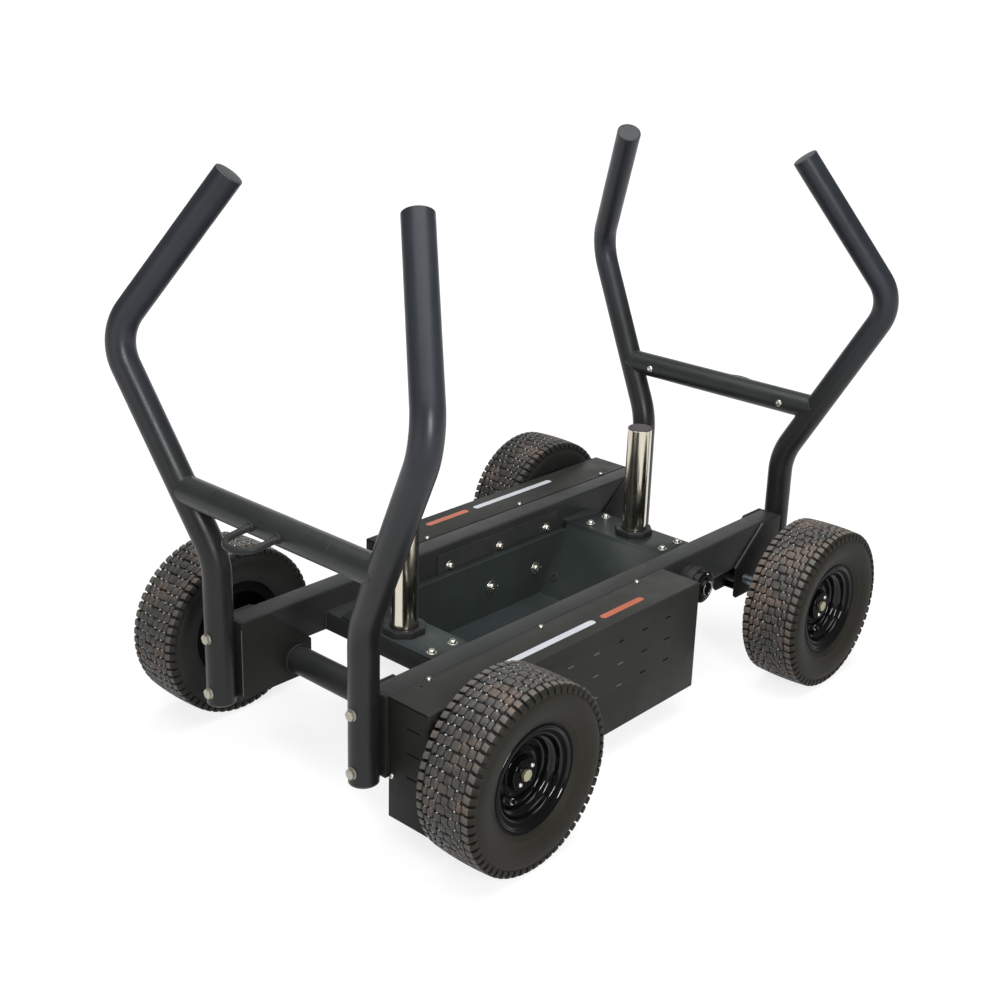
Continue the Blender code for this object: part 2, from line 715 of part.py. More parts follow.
def make_tray():
    """Folded sheet: the faces drawn here are the inner, visible side of the metal."""
    floor, top, lip = TRAY_FLOOR, TRAY_FLANGE_TOP, TRAY_LIP
    half = TRAY_WIDTH / 2
    floor_x, top_x = TRAY_FLOOR_LENGTH / 2, TRAY_TOP_LENGTH / 2
    lip_x = floor_x + (top_x - floor_x) * (lip - floor) / (top - floor)
    lip_y = RAIL_IN - FIT - STRIP_SHEET - FIT
    edge_x = POST_X + MEMBER_WIDTH / 2
    edge_y = half - TRAY_FLANGE_TAPER
    bm = bmesh.new()
    spot = {}

    def vert(x, y, z):
        key = (x, y, z)
        if key not in spot:
            spot[key] = bm.verts.new(key)
        return spot[key]

    def face(*corners):
        bm.faces.new([vert(*corner) for corner in corners])

    face((-floor_x, -half, floor), (floor_x, -half, floor), (floor_x, half, floor),
         (-floor_x, half, floor))
    face((-floor_x, half, floor), (floor_x, half, floor), (lip_x, half, lip), (-lip_x, half, lip))
    face((floor_x, -half, floor), (-floor_x, -half, floor), (-lip_x, -half, lip),
         (lip_x, -half, lip))
    face((-lip_x, half, lip), (lip_x, half, lip), (lip_x, lip_y, lip), (-lip_x, lip_y, lip))
    face((lip_x, -half, lip), (-lip_x, -half, lip), (-lip_x, -lip_y, lip), (lip_x, -lip_y, lip))
    face((floor_x, half, floor), (floor_x, -half, floor), (lip_x, -half, lip), (top_x, -half, top),
         (top_x, half, top), (lip_x, half, lip))
    face((-floor_x, -half, floor), (-floor_x, half, floor), (-lip_x, half, lip),
         (-top_x, half, top), (-top_x, -half, top), (-lip_x, -half, lip))
    face((top_x, half, top), (top_x, -half, top), (edge_x, -edge_y, top), (edge_x, edge_y, top))
    face((-top_x, -half, top), (-top_x, half, top), (-edge_x, edge_y, top),
         (-edge_x, -edge_y, top))
    mesh = bpy.data.meshes.new("weight_tray")
    bm.to_mesh(mesh)
    bm.free()
    tray = bpy.data.objects.new("weight_tray", mesh)
    bpy.context.scene.collection.objects.link(tray)
    place(tray, "tray_coat", (0, 0, 0), False)
    sheet = tray.modifiers.new("sheet", "SOLIDIFY")
    sheet.thickness = TRAY_SHEET
    sheet.offset = -1.0
    sheet.solidify_mode = "NON_MANIFOLD"
    sheet.nonmanifold_thickness_mode = "CONSTRAINTS"
    sheet.nonmanifold_merge_threshold = 0.0001
    bolts = bmesh.new()
    for end in ENDS.values():
        for x, y in member_bolt_places():
            add_bolt(bolts, M8, (end * x, y, top), (0, 0, -1), TRAY_SHEET + RAIL_WALL + CUT)
    for side in SIDES.values():
        for x in spacer_bolt_places():
            add_bolt(bolts, M8, (side * x, side * half, SPACER_BOLT_HEIGHT), (0, side, 0),
                     RAIL_OUT - half)
    fuse(tray, bolts, "bolts")


def strip_bolt_places():
    """X of the three bolts of the left strip."""
    middle = STRIP_START + STRIP_LENGTH / 2
    return [middle + STRIP_BOLT_PITCH * k for k in (-1, 0, 1)]


def spacer_bolt_places():
    """X of the two bolts that tie the left tray wall to the left box."""
    return [SPACER_BOLT_FIRST, SPACER_BOLT_FIRST + SPACER_BOLT_PITCH]


def make_tray_strips():
    """Angle strips bolted to the rails; the tray's side lips rest on them."""
    wall_out = RAIL_IN - FIT
    wall_in = wall_out - STRIP_SHEET
    leg_top = TRAY_LIP - TRAY_SHEET - FIT
    leg_bottom = leg_top - STRIP_SHEET
    leg_in = TRAY_WIDTH / 2 + TRAY_SHEET + FIT
    section = [(leg_in, leg_bottom), (wall_out, leg_bottom), (wall_out, leg_bottom + STRIP_HEIGHT),
               (wall_in, leg_bottom + STRIP_HEIGHT), (wall_in, leg_top), (leg_in, leg_top)]
    for side_name, side in SIDES.items():
        xs = sorted((side * STRIP_START, side * (STRIP_START + STRIP_LENGTH)))
        bm = bmesh.new()
        add_prism(bm, [(side * y, z) for y, z in section], xs[0], xs[1], "X")
        strip = solid(f"tray_strip_{side_name}", bm, "powder_coat")
        bolts = bmesh.new()
        for x in strip_bolt_places():
            add_bolt(bolts, M8, (side * x, side * wall_in, STRIP_BOLT_HEIGHT), (0, side, 0),
                     STRIP_SHEET + RAIL_WALL + CUT)
        fuse(strip, bolts, "bolts")


# Drive boxes

def cover_screw_places():
    """X of the cover screws on the right box."""
    return [BOX_REAR + COVER_SCREW_REAR + COVER_SCREW_PITCH * k for k in range(3)]


def make_drive_box(name, cover_name, half_turn):
    """Right box: a pan against the rail, and a bent cover that forms its top and outer side."""
    sheet = BOX_SHEET
    cover_in = BOX_OUT - sheet - FIT
    pan_top = BOX_TOP - sheet - FIT
    bm = bmesh.new()
    add_box(bm, (BOX_REAR, BOX_FRONT), (-cover_in, -BOX_IN), (BOX_BOTTOM, pan_top))
    pan = solid(name, bm, "powder_coat", half_turn=half_turn)
    room = bmesh.new()
    add_box(room, (BOX_REAR + sheet, BOX_FRONT - sheet), (-BOX_OUT - CUT, -BOX_IN - sheet),
            (BOX_BOTTOM + sheet, pan_top - sheet))
    cut(pan, room, "room")
    mouth = bmesh.new()
    add_box(mouth, (BOX_REAR + sheet, BOX_FRONT - sheet),
            (-BOX_OUT - CUT, -BOX_IN - BOX_TOP_FLANGE), (pan_top - sheet - CUT, pan_top + CUT))
    cut(pan, mouth, "mouth")
    relief = bmesh.new()
    for x in (BOX_REAR, BOX_FRONT):
        add_box(relief, (x - CUT, x + CUT), (-BOX_OUT - CUT, -BOX_IN - BOX_TOP_FLANGE),
                (pan_top - BOX_END_GAP, pan_top + CUT))
    cut(pan, relief, "end_gap")
    holes = bmesh.new()
    axle_bore = bore_radius(AXLE_OD, AXLE_SIDES)
    shaft_bore = bore_radius(BRAKE_SHAFT_OD, AXLE_SIDES)
    add_rod(holes, axle_bore, (-AXLE_X, -BOX_IN + CUT, AXLE_Z),
            (-AXLE_X, -BOX_IN - sheet - CUT, AXLE_Z), AXLE_SIDES)
    for x in cover_screw_places():
        add_hole(holes, M5, (x, -BOX_IN - COVER_SCREW_IN, pan_top), (0, 0, -1), sheet + CUT)
    add_rod(holes, shaft_bore, (BRAKE_SHAFT_X, -BOX_IN + CUT, AXLE_Z),
            (BRAKE_SHAFT_X, -BOX_IN - sheet - CUT, AXLE_Z), AXLE_SIDES)
    cut(pan, holes, "holes")
    vents = bmesh.new()
    for row in range(VENT_ROWS):
        z = BOX_TOP - VENT_TOP - VENT_PITCH_Z * row
        middle = -BOX_IN - END_VENT_IN
        add_box(vents, (BOX_REAR - CUT, BOX_REAR + CUT),
                (middle - END_VENT_LENGTH / 2, middle + END_VENT_LENGTH / 2),
                (z - VENT_HEIGHT / 2, z + VENT_HEIGHT / 2))
    cut(pan, vents, "end_vents")
    spacers = bmesh.new()
    bore = bore_radius(M8[0], ROD_SIDES)
    start = TRAY_WIDTH / 2 + TRAY_SHEET + FIT
    profile = ring_profile(bore, SPACER_TUBE_OD / 2, -BOX_IN - sheet / 2, -start)
    for x in spacer_bolt_places():
        add_lathe(spacers, profile, ROD_SIDES, at=(-x, 0, SPACER_BOLT_HEIGHT),
                  turn=Matrix.Rotation(math.pi / ROD_SIDES, 4, "Y"))
    fuse(pan, spacers, "spacers")

    bm = bmesh.new()
    rounding = COVER_BEND * (1 - math.cos(math.pi / 4))
    bent = [(-BOX_IN, BOX_TOP), (-BOX_IN, BOX_TOP - sheet), (-BOX_OUT + sheet, BOX_TOP - sheet),
            (-BOX_OUT + sheet, BOX_BOTTOM), (-BOX_OUT, BOX_BOTTOM), (-BOX_OUT, BOX_TOP - COVER_BEND),
            (-BOX_OUT + rounding, BOX_TOP - rounding), (-BOX_OUT + COVER_BEND, BOX_TOP)]
    add_prism(bm, bent, BOX_REAR, BOX_FRONT, "X")
    cover = solid(cover_name, bm, "powder_coat", half_turn=half_turn)
    openings = bmesh.new()
    screws = bmesh.new()
    for column in range(VENT_COLUMNS):
        x = BOX_FRONT - VENT_FRONT - VENT_PITCH_X * column
        for row in range(VENT_ROWS):
            z = BOX_TOP - VENT_TOP - VENT_PITCH_Z * row
            add_box(openings, (x - VENT_LENGTH / 2, x + VENT_LENGTH / 2),
                    (-BOX_OUT - CUT, -BOX_OUT + CUT), (z - VENT_HEIGHT / 2, z + VENT_HEIGHT / 2))
    add_rod(openings, axle_bore + CUT, (-AXLE_X, -BOX_OUT - CUT, AXLE_Z),
            (-AXLE_X, -BOX_OUT + CUT, AXLE_Z), AXLE_SIDES)
    for x in cover_screw_places():
        add_bolt(screws, M5, (x, -BOX_IN - COVER_SCREW_IN, BOX_TOP), (0, 0, -1), 2 * sheet + CUT)
    cut(cover, openings, "openings")
    fuse(cover, screws, "screws")


# Drive train of the right box; a half turn gives the left one

def ring_profile(bore, outer, start, end):
    return [(bore, start), (outer, start), (outer, end), (bore, end)]


def make_bearing(name, at_x, shaft_od, flange_od, depth, half_turn):
    """Flanged bearing on the box's inner wall."""
    bore = bore_radius(shaft_od, AXLE_SIDES)
    boss = flange_od / 2 * BEARING_BOSS_SHARE
    flange_face = -WALL_FACE - BEARING_FLANGE
    bm = bmesh.new()
    add_lathe(bm, [(bore, -WALL_FACE - depth), (boss, -WALL_FACE - depth), (boss, flange_face),
                   (flange_od / 2, flange_face), (flange_od / 2, -WALL_FACE), (bore, -WALL_FACE)],
              AXLE_SIDES)
    solid(name, bm, "bare_steel", at=(at_x, 0, AXLE_Z), half_turn=half_turn, smooth=SMOOTH)


def pulley_profile(bore, radius, near):
    """Flanged belt pulley between near and near + width, seen outward from the box wall."""
    lip = radius + PULLEY_LIP
    far = near + PULLEY_WIDTH
    return [(bore, -near), (lip, -near), (lip, -near - PULLEY_LIP_WIDTH),
            (radius, -near - PULLEY_LIP_WIDTH), (radius, -far + PULLEY_LIP_WIDTH),
            (lip, -far + PULLEY_LIP_WIDTH), (lip, -far), (bore, -far)]


def make_drive_pulley(name, half_turn):
    bm = bmesh.new()
    profile = pulley_profile(bore_radius(AXLE_OD, PULLEY_SIDES), DRIVE_PULLEY_OD / 2,
                             BOX_IN + PULLEY_IN)
    add_lathe(bm, profile, PULLEY_SIDES)
    solid(name, bm, "bare_steel", at=(-AXLE_X, 0, AXLE_Z), half_turn=half_turn, smooth=SMOOTH)


def make_brake_rotor(name, half_turn):
    """Shaft with the small belt pulley, the hub and the brake disc pressed on it."""
    radius = BRAKE_SHAFT_OD / 2
    near = BOX_IN + PULLEY_IN
    far = near + PULLEY_WIDTH
    small = BRAKE_PULLEY_OD / 2
    lip = small + PULLEY_LIP
    disc_near = BOX_IN + DISC_IN
    disc_far = disc_near + DISC_THICKNESS
    profile = [(radius, BOX_IN), (radius, near), (lip, near), (lip, near + PULLEY_LIP_WIDTH),
               (small, near + PULLEY_LIP_WIDTH), (small, far - PULLEY_LIP_WIDTH),
               (lip, far - PULLEY_LIP_WIDTH), (lip, far), (DISC_HUB_OD / 2, far),
               (DISC_HUB_OD / 2, disc_near), (DISC_OD / 2, disc_near), (DISC_OD / 2, disc_far),
               (radius, disc_far), (radius, disc_far + CUT)]
    bm = bmesh.new()
    add_turned_y(bm, [(r, -y) for r, y in profile], ROUND_SIDES, (0, 0, 0))
    solid(name, bm, "bare_steel", at=(BRAKE_SHAFT_X, 0, AXLE_Z), half_turn=half_turn, smooth=SMOOTH)


def make_belt(name, half_turn):
    """Flat belt round both pulleys: two arcs joined by the tangents."""
    big = DRIVE_PULLEY_OD / 2 + FIT
    small = BRAKE_PULLEY_OD / 2 + FIT
    span = BRAKE_SHAFT_X + AXLE_X
    lean = math.asin((big - small) / span)
    near = BOX_IN + PULLEY_IN + PULLEY_LIP_WIDTH + FIT
    far = BOX_IN + PULLEY_IN + PULLEY_WIDTH - PULLEY_LIP_WIDTH - FIT

    def loop(grow):
        points = []
        for k in range(BELT_STEPS + 1):
            angle = math.pi / 2 - lean + (math.pi + 2 * lean) * k / BELT_STEPS
            points.append((-AXLE_X + (big + grow) * math.cos(angle),
                           AXLE_Z + (big + grow) * math.sin(angle)))
        for k in range(BELT_STEPS // 2 + 1):
            angle = -math.pi / 2 + lean + (math.pi - 2 * lean) * k / (BELT_STEPS // 2)
            points.append((BRAKE_SHAFT_X + (small + grow) * math.cos(angle),
                           AXLE_Z + (small + grow) * math.sin(angle)))
        return points

    round_off = 1 / math.cos((math.pi + 2 * lean) / BELT_STEPS / 2)
    inner = loop((round_off - 1) * big)
    outer = loop((round_off - 1) * big + BELT_THICKNESS)
    bm = bmesh.new()
    rings = [[bm.verts.new((x, -y, z)) for x, z in points]
             for points, y in ((inner, near), (outer, near), (outer, far), (inner, far))]
    count = len(inner)
    for ring, following in zip(rings, rings[1:] + rings[:1]):
        for i in range(count):
            j = (i + 1) % count
            bm.faces.new((ring[i], ring[j], following[j], following[i]))
    solid(name, bm, "rubber", half_turn=half_turn)


def make_magnet_carrier(name, half_turn):
    """Yoke whose two plates straddle the disc's rim; its foot slides along the box wall."""
    disc_near = BOX_IN + DISC_IN
    disc_far = disc_near + DISC_THICKNESS
    rim = BRAKE_SHAFT_X + DISC_OD / 2
    tip = rim - MAGNET_OVERLAP
    throat = rim + MAGNET_THROAT
    back = throat + MAGNET_WEB
    foot = WALL_FACE
    inner_low = disc_near - MAGNET_GAP
    outer_low = disc_far + MAGNET_GAP
    outline = [(throat, foot), (back + MAGNET_FOOT, foot),
               (back + MAGNET_FOOT, foot + MAGNET_FOOT_SHEET), (back, foot + MAGNET_FOOT_SHEET),
               (back, outer_low + MAGNET_PLATE), (tip, outer_low + MAGNET_PLATE),
               (tip, outer_low), (throat, outer_low), (throat, inner_low), (tip, inner_low),
               (tip, inner_low - MAGNET_PLATE), (throat, inner_low - MAGNET_PLATE)]
    bm = bmesh.new()
    add_prism(bm, [(x, -y) for x, y in outline], -MAGNET_HEIGHT / 2, MAGNET_HEIGHT / 2, "Z")
    solid(name, bm, "bare_steel", at=(0, 0, AXLE_Z), half_turn=half_turn)


def make_dial(name, half_turn):
    near = RAIL_OUT + FIT + DIAL_HOUSING + FIT
    far = near + DIAL_THICKNESS
    radius = DIAL_OD / 2
    boss = DIAL_BOSS_OD / 2
    profile = [(radius, near), (radius, far - DIAL_EDGE), (radius - DIAL_EDGE, far), (boss, far),
               (boss, far + DIAL_BOSS)]
    bm = bmesh.new()
    add_turned_y(bm, [(r, -y) for r, y in profile], ROUND_SIDES, (0, 0, 0))
    solid(name, bm, "gloss_black", at=(DIAL_X, 0, DIAL_HEIGHT), half_turn=half_turn, smooth=SMOOTH)


def make_dial_housing(name, half_turn):
    """Round housing on the rail, with the cable conduit that runs from it to the box."""
    near = RAIL_OUT + FIT
    bm = bmesh.new()
    add_turned_y(bm, [(DIAL_HOUSING_OD / 2, -near), (DIAL_HOUSING_OD / 2, -near - DIAL_HOUSING)],
                 ROUND_SIDES, (0, 0, 0))
    housing = solid(name, bm, "black_plastic", at=(DIAL_X, 0, DIAL_HEIGHT), half_turn=half_turn,
                    smooth=SMOOTH)
    conduit = bmesh.new()
    y = -near - DIAL_HOUSING / 2
    add_rod(conduit, CONDUIT_OD / 2, (BOX_FRONT + FIT - DIAL_X, y, 0), (-DIAL_HOUSING_OD / 4, y, 0),
            ROD_SIDES)
    fuse(housing, conduit, "conduit")


# Wheels

def bead_radius(along):
    """Radius of a tyre corner that clears the rim's sloping bead seat."""
    start, end = RIM_WIDTH / 2 * RIM_WELL_SHARE, RIM_WIDTH / 2 - RIM_SHEET
    share = (along - start) / (end - start)
    seat = RIM_WELL_OD / 2 + share * (RIM_SEAT_OD - RIM_WELL_OD) / 2
    return (seat + FIT) / math.cos(math.pi / (2 * TREAD_LUGS))


def tyre_rings():
    """Section of the tyre from the outer bead over the tread, as (radius, along, lug phase).

    Tread radii are those of the corners, so that the flats between them touch the floor."""
    radius = TYRE_OD / 2
    crown = radius / math.cos(math.pi / (2 * TREAD_LUGS))
    half = TYRE_WIDTH / 2
    shoulder = TREAD_WIDTH / 2
    bead_out = RIM_WIDTH / 2 - RIM_SHEET - FIT
    bead_in = bead_out - BEAD_WIDTH
    side = [(bead_radius(bead_in) + FIT, bead_in, None), (bead_radius(bead_out), bead_out, None),
            (RIM_FLANGE_OD / 2 + FIT, bead_out, None),
            (radius - SIDEWALL_BULGE, half, None), (radius - SHOULDER_DROP, half - SHOULDER_IN, None)]
    pitch = TREAD_WIDTH / TREAD_ROWS
    flat = (pitch + TREAD_GROOVE) / 2
    tread = []
    for row in range(TREAD_ROWS):
        start = shoulder - pitch * row
        for along in (start - TREAD_GROOVE / 2, start - pitch + TREAD_GROOVE / 2):
            fall = TREAD_CROWN * max(0.0, abs(along) - flat) / (shoulder - flat)
            tread.append((crown - fall, along, row % 2))
    liner = [(radius - LINER_DEPTH, -LINER_WIDTH / 2, None),
             (radius - LINER_DEPTH, LINER_WIDTH / 2, None)]
    return side + tread + [(r, -s, None) for r, s, _ in reversed(side)] + liner


def make_tyre_mesh():
    """Lugged tyre; neighbouring rows of lugs are staggered by half a pitch."""
    bm = bmesh.new()
    columns = 2 * TREAD_LUGS
    rings = []
    for radius, along, phase in tyre_rings():
        ring = []
        for i in range(columns):
            angle = 2 * math.pi * (i + 0.5) / columns - math.pi / 2
            low = phase is not None and (i + phase) % 2
            r = radius - TREAD_DEPTH if low else radius
            ring.append(bm.verts.new((r * math.cos(angle), -along, r * math.sin(angle))))
        rings.append(ring)
    for ring, following in zip(rings, rings[1:] + rings[:1]):
        for i in range(columns):
            j = (i + 1) % columns
            bm.faces.new((ring[i], ring[j], following[j], following[i]))
    return bm


def rim_profile():
    """Pressed steel rim with a web and a hub tube, as (radius, along)."""
    half = RIM_WIDTH / 2
    sheet = RIM_SHEET
    flange = RIM_FLANGE_OD / 2
    seat = RIM_SEAT_OD / 2
    well = RIM_WELL_OD / 2
    step = half * RIM_WELL_SHARE
    bore = bore_radius(AXLE_OD, RIM_SIDES)
    hub = HUB_OD / 2
    web_in = WEB_OFFSET - sheet / 2
    web_out = WEB_OFFSET + sheet / 2
    return [(bore, -HUB_INNER), (hub, -HUB_INNER), (hub, web_in), (well - sheet, web_in),
            (well - sheet, -step), (seat - sheet, -half), (flange, -half), (seat, -half + sheet),
            (well, -step), (well, step), (seat, half - sheet), (flange, half),
            (seat - sheet, half), (well - sheet, step), (well - sheet, web_out),
            (hub, web_out), (hub, HUB_OUTER), (bore, HUB_OUTER)]


def make_wheel(end_name, side_name):
    end, side = ENDS[end_name], SIDES[side_name]
    half_turn = side > 0
    at = (end * AXLE_X * (-1 if half_turn else 1), -WHEEL_Y, AXLE_Z)
    solid(f"tyre_{end_name}_{side_name}", make_tyre_mesh(), "rubber", at=at,
          half_turn=half_turn)
    bm = bmesh.new()
    add_lathe(bm, [(r, -s) for r, s in rim_profile()], RIM_SIDES)
    solid(f"rim_{end_name}_{side_name}", bm, "gloss_black", at=at, half_turn=half_turn, smooth=SMOOTH)


def add_hex(bm, flats, near, far):
    """Hexagonal head about Y, from near to far on the right side."""
    corner = flats / 2 / math.cos(math.pi / 6)
    hexagon = [(corner * math.cos(math.pi * i / 3), corner * math.sin(math.pi * i / 3))
               for i in range(6)]
    add_prism(bm, hexagon, -far, -near, "Y")


def axle_end_profile(radius, hub_in):
    """The part of an axle's half section that carries the hub, up into its screw's head."""
    shank = HUB_SCREW_SHANK / 2
    hub_out = WHEEL_Y + HUB_OUTER - FIT
    return [(radius, hub_in), (radius, hub_out), (shank, hub_out),
            (shank, hub_out + HUB_SCREW_GRIP)]


def add_hub_screw(bm):
    """Hex head of the screw that holds the hub on the axle's end."""
    near = WHEEL_Y + HUB_OUTER + FIT
    add_hex(bm, HUB_SCREW_FLATS, near, near + HUB_SCREW_HEAD)


def make_drive_axle(name, half_turn):
    """Live axle from the tube bearing through the box to the wheel, with its hub screw."""
    radius = AXLE_OD / 2
    hub_in = WHEEL_Y - HUB_INNER - FIT
    profile = [(radius, BRACKET_IN - AXLE_INSET), (radius, hub_in - AXLE_FLANGE),
               (AXLE_FLANGE_OD / 2, hub_in - AXLE_FLANGE), (AXLE_FLANGE_OD / 2, hub_in)]
    profile += axle_end_profile(radius, hub_in)
    bm = bmesh.new()
    add_turned_y(bm, [(r, -y) for r, y in profile], AXLE_SIDES, (0, 0, 0))
    axle = solid(name, bm, "zinc_steel", at=(-AXLE_X, 0, AXLE_Z), half_turn=half_turn, smooth=SMOOTH)
    screw = bmesh.new()
    add_hub_screw(screw)
    fuse(axle, screw, "screw")


def make_free_axle(name, half_turn):
    """Fixed axle of a free wheel, with a shoulder for the hub and a hub screw."""
    radius = AXLE_OD / 2
    hub_in = WHEEL_Y - HUB_INNER - FIT
    profile = [(radius, BRACKET_IN - AXLE_INSET), (radius, hub_in - SHOULDER),
               (SHOULDER_OD / 2, hub_in - SHOULDER), (SHOULDER_OD / 2, hub_in)]
    profile += axle_end_profile(radius, hub_in)
    bm = bmesh.new()
    add_turned_y(bm, [(r, -y) for r, y in profile], AXLE_SIDES, (0, 0, 0))
    axle = solid(name, bm, "zinc_steel", at=(AXLE_X, 0, AXLE_Z), half_turn=half_turn, smooth=SMOOTH)
    screw = bmesh.new()
    add_hub_screw(screw)
    fuse(axle, screw, "screw")


make_handles()
make_crossbars()
make_tow_rings()
make_rails()
make_bracket("bracket_rear_right", False, False)
make_bracket("bracket_front_left", True, False)
make_bracket("bracket_rear_left", False, True)
make_bracket("bracket_front_right", True, True)
make_axle_tubes()
make_cross_members()
make_posts()
make_post_caps()
make_tray()
make_tray_strips()
for box_side, turned in (("right", False), ("left", True)):
    make_drive_box(f"drive_box_{box_side}", f"drive_cover_{box_side}", turned)
    make_bearing(f"axle_bearing_{box_side}", -AXLE_X, AXLE_OD, FLANGE_BEARING_OD, FLANGE_BEARING,
                 turned)
    make_bearing(f"brake_bearing_{box_side}", BRAKE_SHAFT_X, BRAKE_SHAFT_OD, BRAKE_BEARING_OD,
                 BRAKE_BEARING, turned)
    make_drive_pulley(f"drive_pulley_{box_side}", turned)
    make_drive_axle(f"drive_axle_{box_side}", turned)
    make_brake_rotor(f"brake_rotor_{box_side}", turned)
    make_belt(f"drive_belt_{box_side}", turned)
    make_magnet_carrier(f"magnet_carrier_{box_side}", turned)
    make_dial(f"dial_{box_side}", turned)
    make_dial_housing(f"dial_housing_{box_side}", turned)
make_free_axle("free_axle_front_right", False)
make_free_axle("free_axle_rear_left", True)
for wheel_end in ENDS:
    for wheel_side in SIDES:
        make_wheel(wheel_end, wheel_side)
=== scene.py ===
"""Weight sled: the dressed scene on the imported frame. Metres, +X front, +Y left, +Z up."""
from math import copysign, cos, dist, pi, radians, sin, tan

import bmesh
import bpy
from mathutils import Matrix, Vector


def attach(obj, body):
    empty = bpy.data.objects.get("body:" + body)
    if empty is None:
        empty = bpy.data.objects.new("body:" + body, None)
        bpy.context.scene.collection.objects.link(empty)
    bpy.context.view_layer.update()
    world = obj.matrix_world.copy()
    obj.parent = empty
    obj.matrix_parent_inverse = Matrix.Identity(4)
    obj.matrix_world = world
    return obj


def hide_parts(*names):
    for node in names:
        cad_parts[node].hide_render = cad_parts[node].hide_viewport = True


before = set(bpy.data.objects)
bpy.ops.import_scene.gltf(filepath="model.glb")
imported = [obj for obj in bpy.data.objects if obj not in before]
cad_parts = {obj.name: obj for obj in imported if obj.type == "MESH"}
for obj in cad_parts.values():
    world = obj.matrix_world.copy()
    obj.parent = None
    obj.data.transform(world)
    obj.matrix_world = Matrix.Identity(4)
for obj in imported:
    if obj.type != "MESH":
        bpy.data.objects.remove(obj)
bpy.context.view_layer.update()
scene = bpy.context.scene
scene.view_settings.view_transform = "Standard"

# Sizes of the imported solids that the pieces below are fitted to
TUBE_R = 0.0255
HANDLE_X, HANDLE_Y = 0.5978, 0.1855
HANDLE_FOOT, LOW_BEND, ELBOW_Z, TIP_Z = 0.128, 0.4, 0.761, 1.04
ELBOW_OUT, TIP_IN = (0.053, 0.193), (0.077, 0.032)
BAR_X, BAR_Z, BAR_HALF = 0.6145, 0.514, 0.145
RAIL_IN, RAIL_OUT, RAIL_END = 0.163, 0.208, 0.5637
RAIL_LOW, RAIL_TOP = 0.1955, 0.2755
AXLE_X, AXLE_Z, WHEEL_Y = 0.449, 0.165, 0.374
POST_X, POST_LOW, POST_TOP = 0.334, 0.2383, 0.4713
BOX_REAR, BOX_FRONT = -0.5653, 0.1553
BOX_IN, BOX_OUT, BOX_LOW = 0.2083, 0.298, 0.0557
TYRE_R, LUGS = 0.165, 60

# The ends and corners with their signs along X and Y, and places of a piece and its twin
ENDS = (("rear", -1), ("front", 1))
CORNERS = (("rear_left", -1, 1), ("rear_right", -1, -1), ("front_left", 1, 1),
           ("front_right", 1, -1))
RIGHT_LEFT, REAR_FRONT = ("right", "left"), ("rear", "front")
LEFT, RIGHT, UP = (0, 1, 0), (0, -1, 0), (0, 0, 1)


# Small helpers

def polar(radius, angle):
    return radius * cos(angle), radius * sin(angle)


def around(count):
    """The angles of one full turn."""
    return [2 * pi * i / count for i in range(count)]


def arc(centre, radius, start, turn, steps):
    """Points of an arc in a plane; start and turn are in degrees."""
    spots = (polar(radius, radians(start + turn * k / steps)) for k in range(steps + 1))
    return [(centre[0] + a, centre[1] + b) for a, b in spots]


def turn_to(direction):
    return Vector(direction).to_track_quat("Z", "Y").to_matrix()


def linear(*values):
    """Linear colour from 0..255 display values."""
    shares = (value / 255 for value in values)
    return (*(c / 12.92 if c <= 0.04045 else ((c + 0.055) / 1.055) ** 2.4 for c in shares), 1)


def linked(name, data):
    obj = bpy.data.objects.new(name, data)
    scene.collection.objects.link(obj)
    return obj


def mm(*values):
    """Pairs in metres from values in millimetres."""
    return [(a / 1000, b / 1000) for a, b in zip(values[::2], values[1::2])]


def plain_mesh(name, bm):
    mesh = bpy.data.meshes.new(name.replace("/", "_"))
    bm.to_mesh(mesh)
    bm.free()
    return mesh


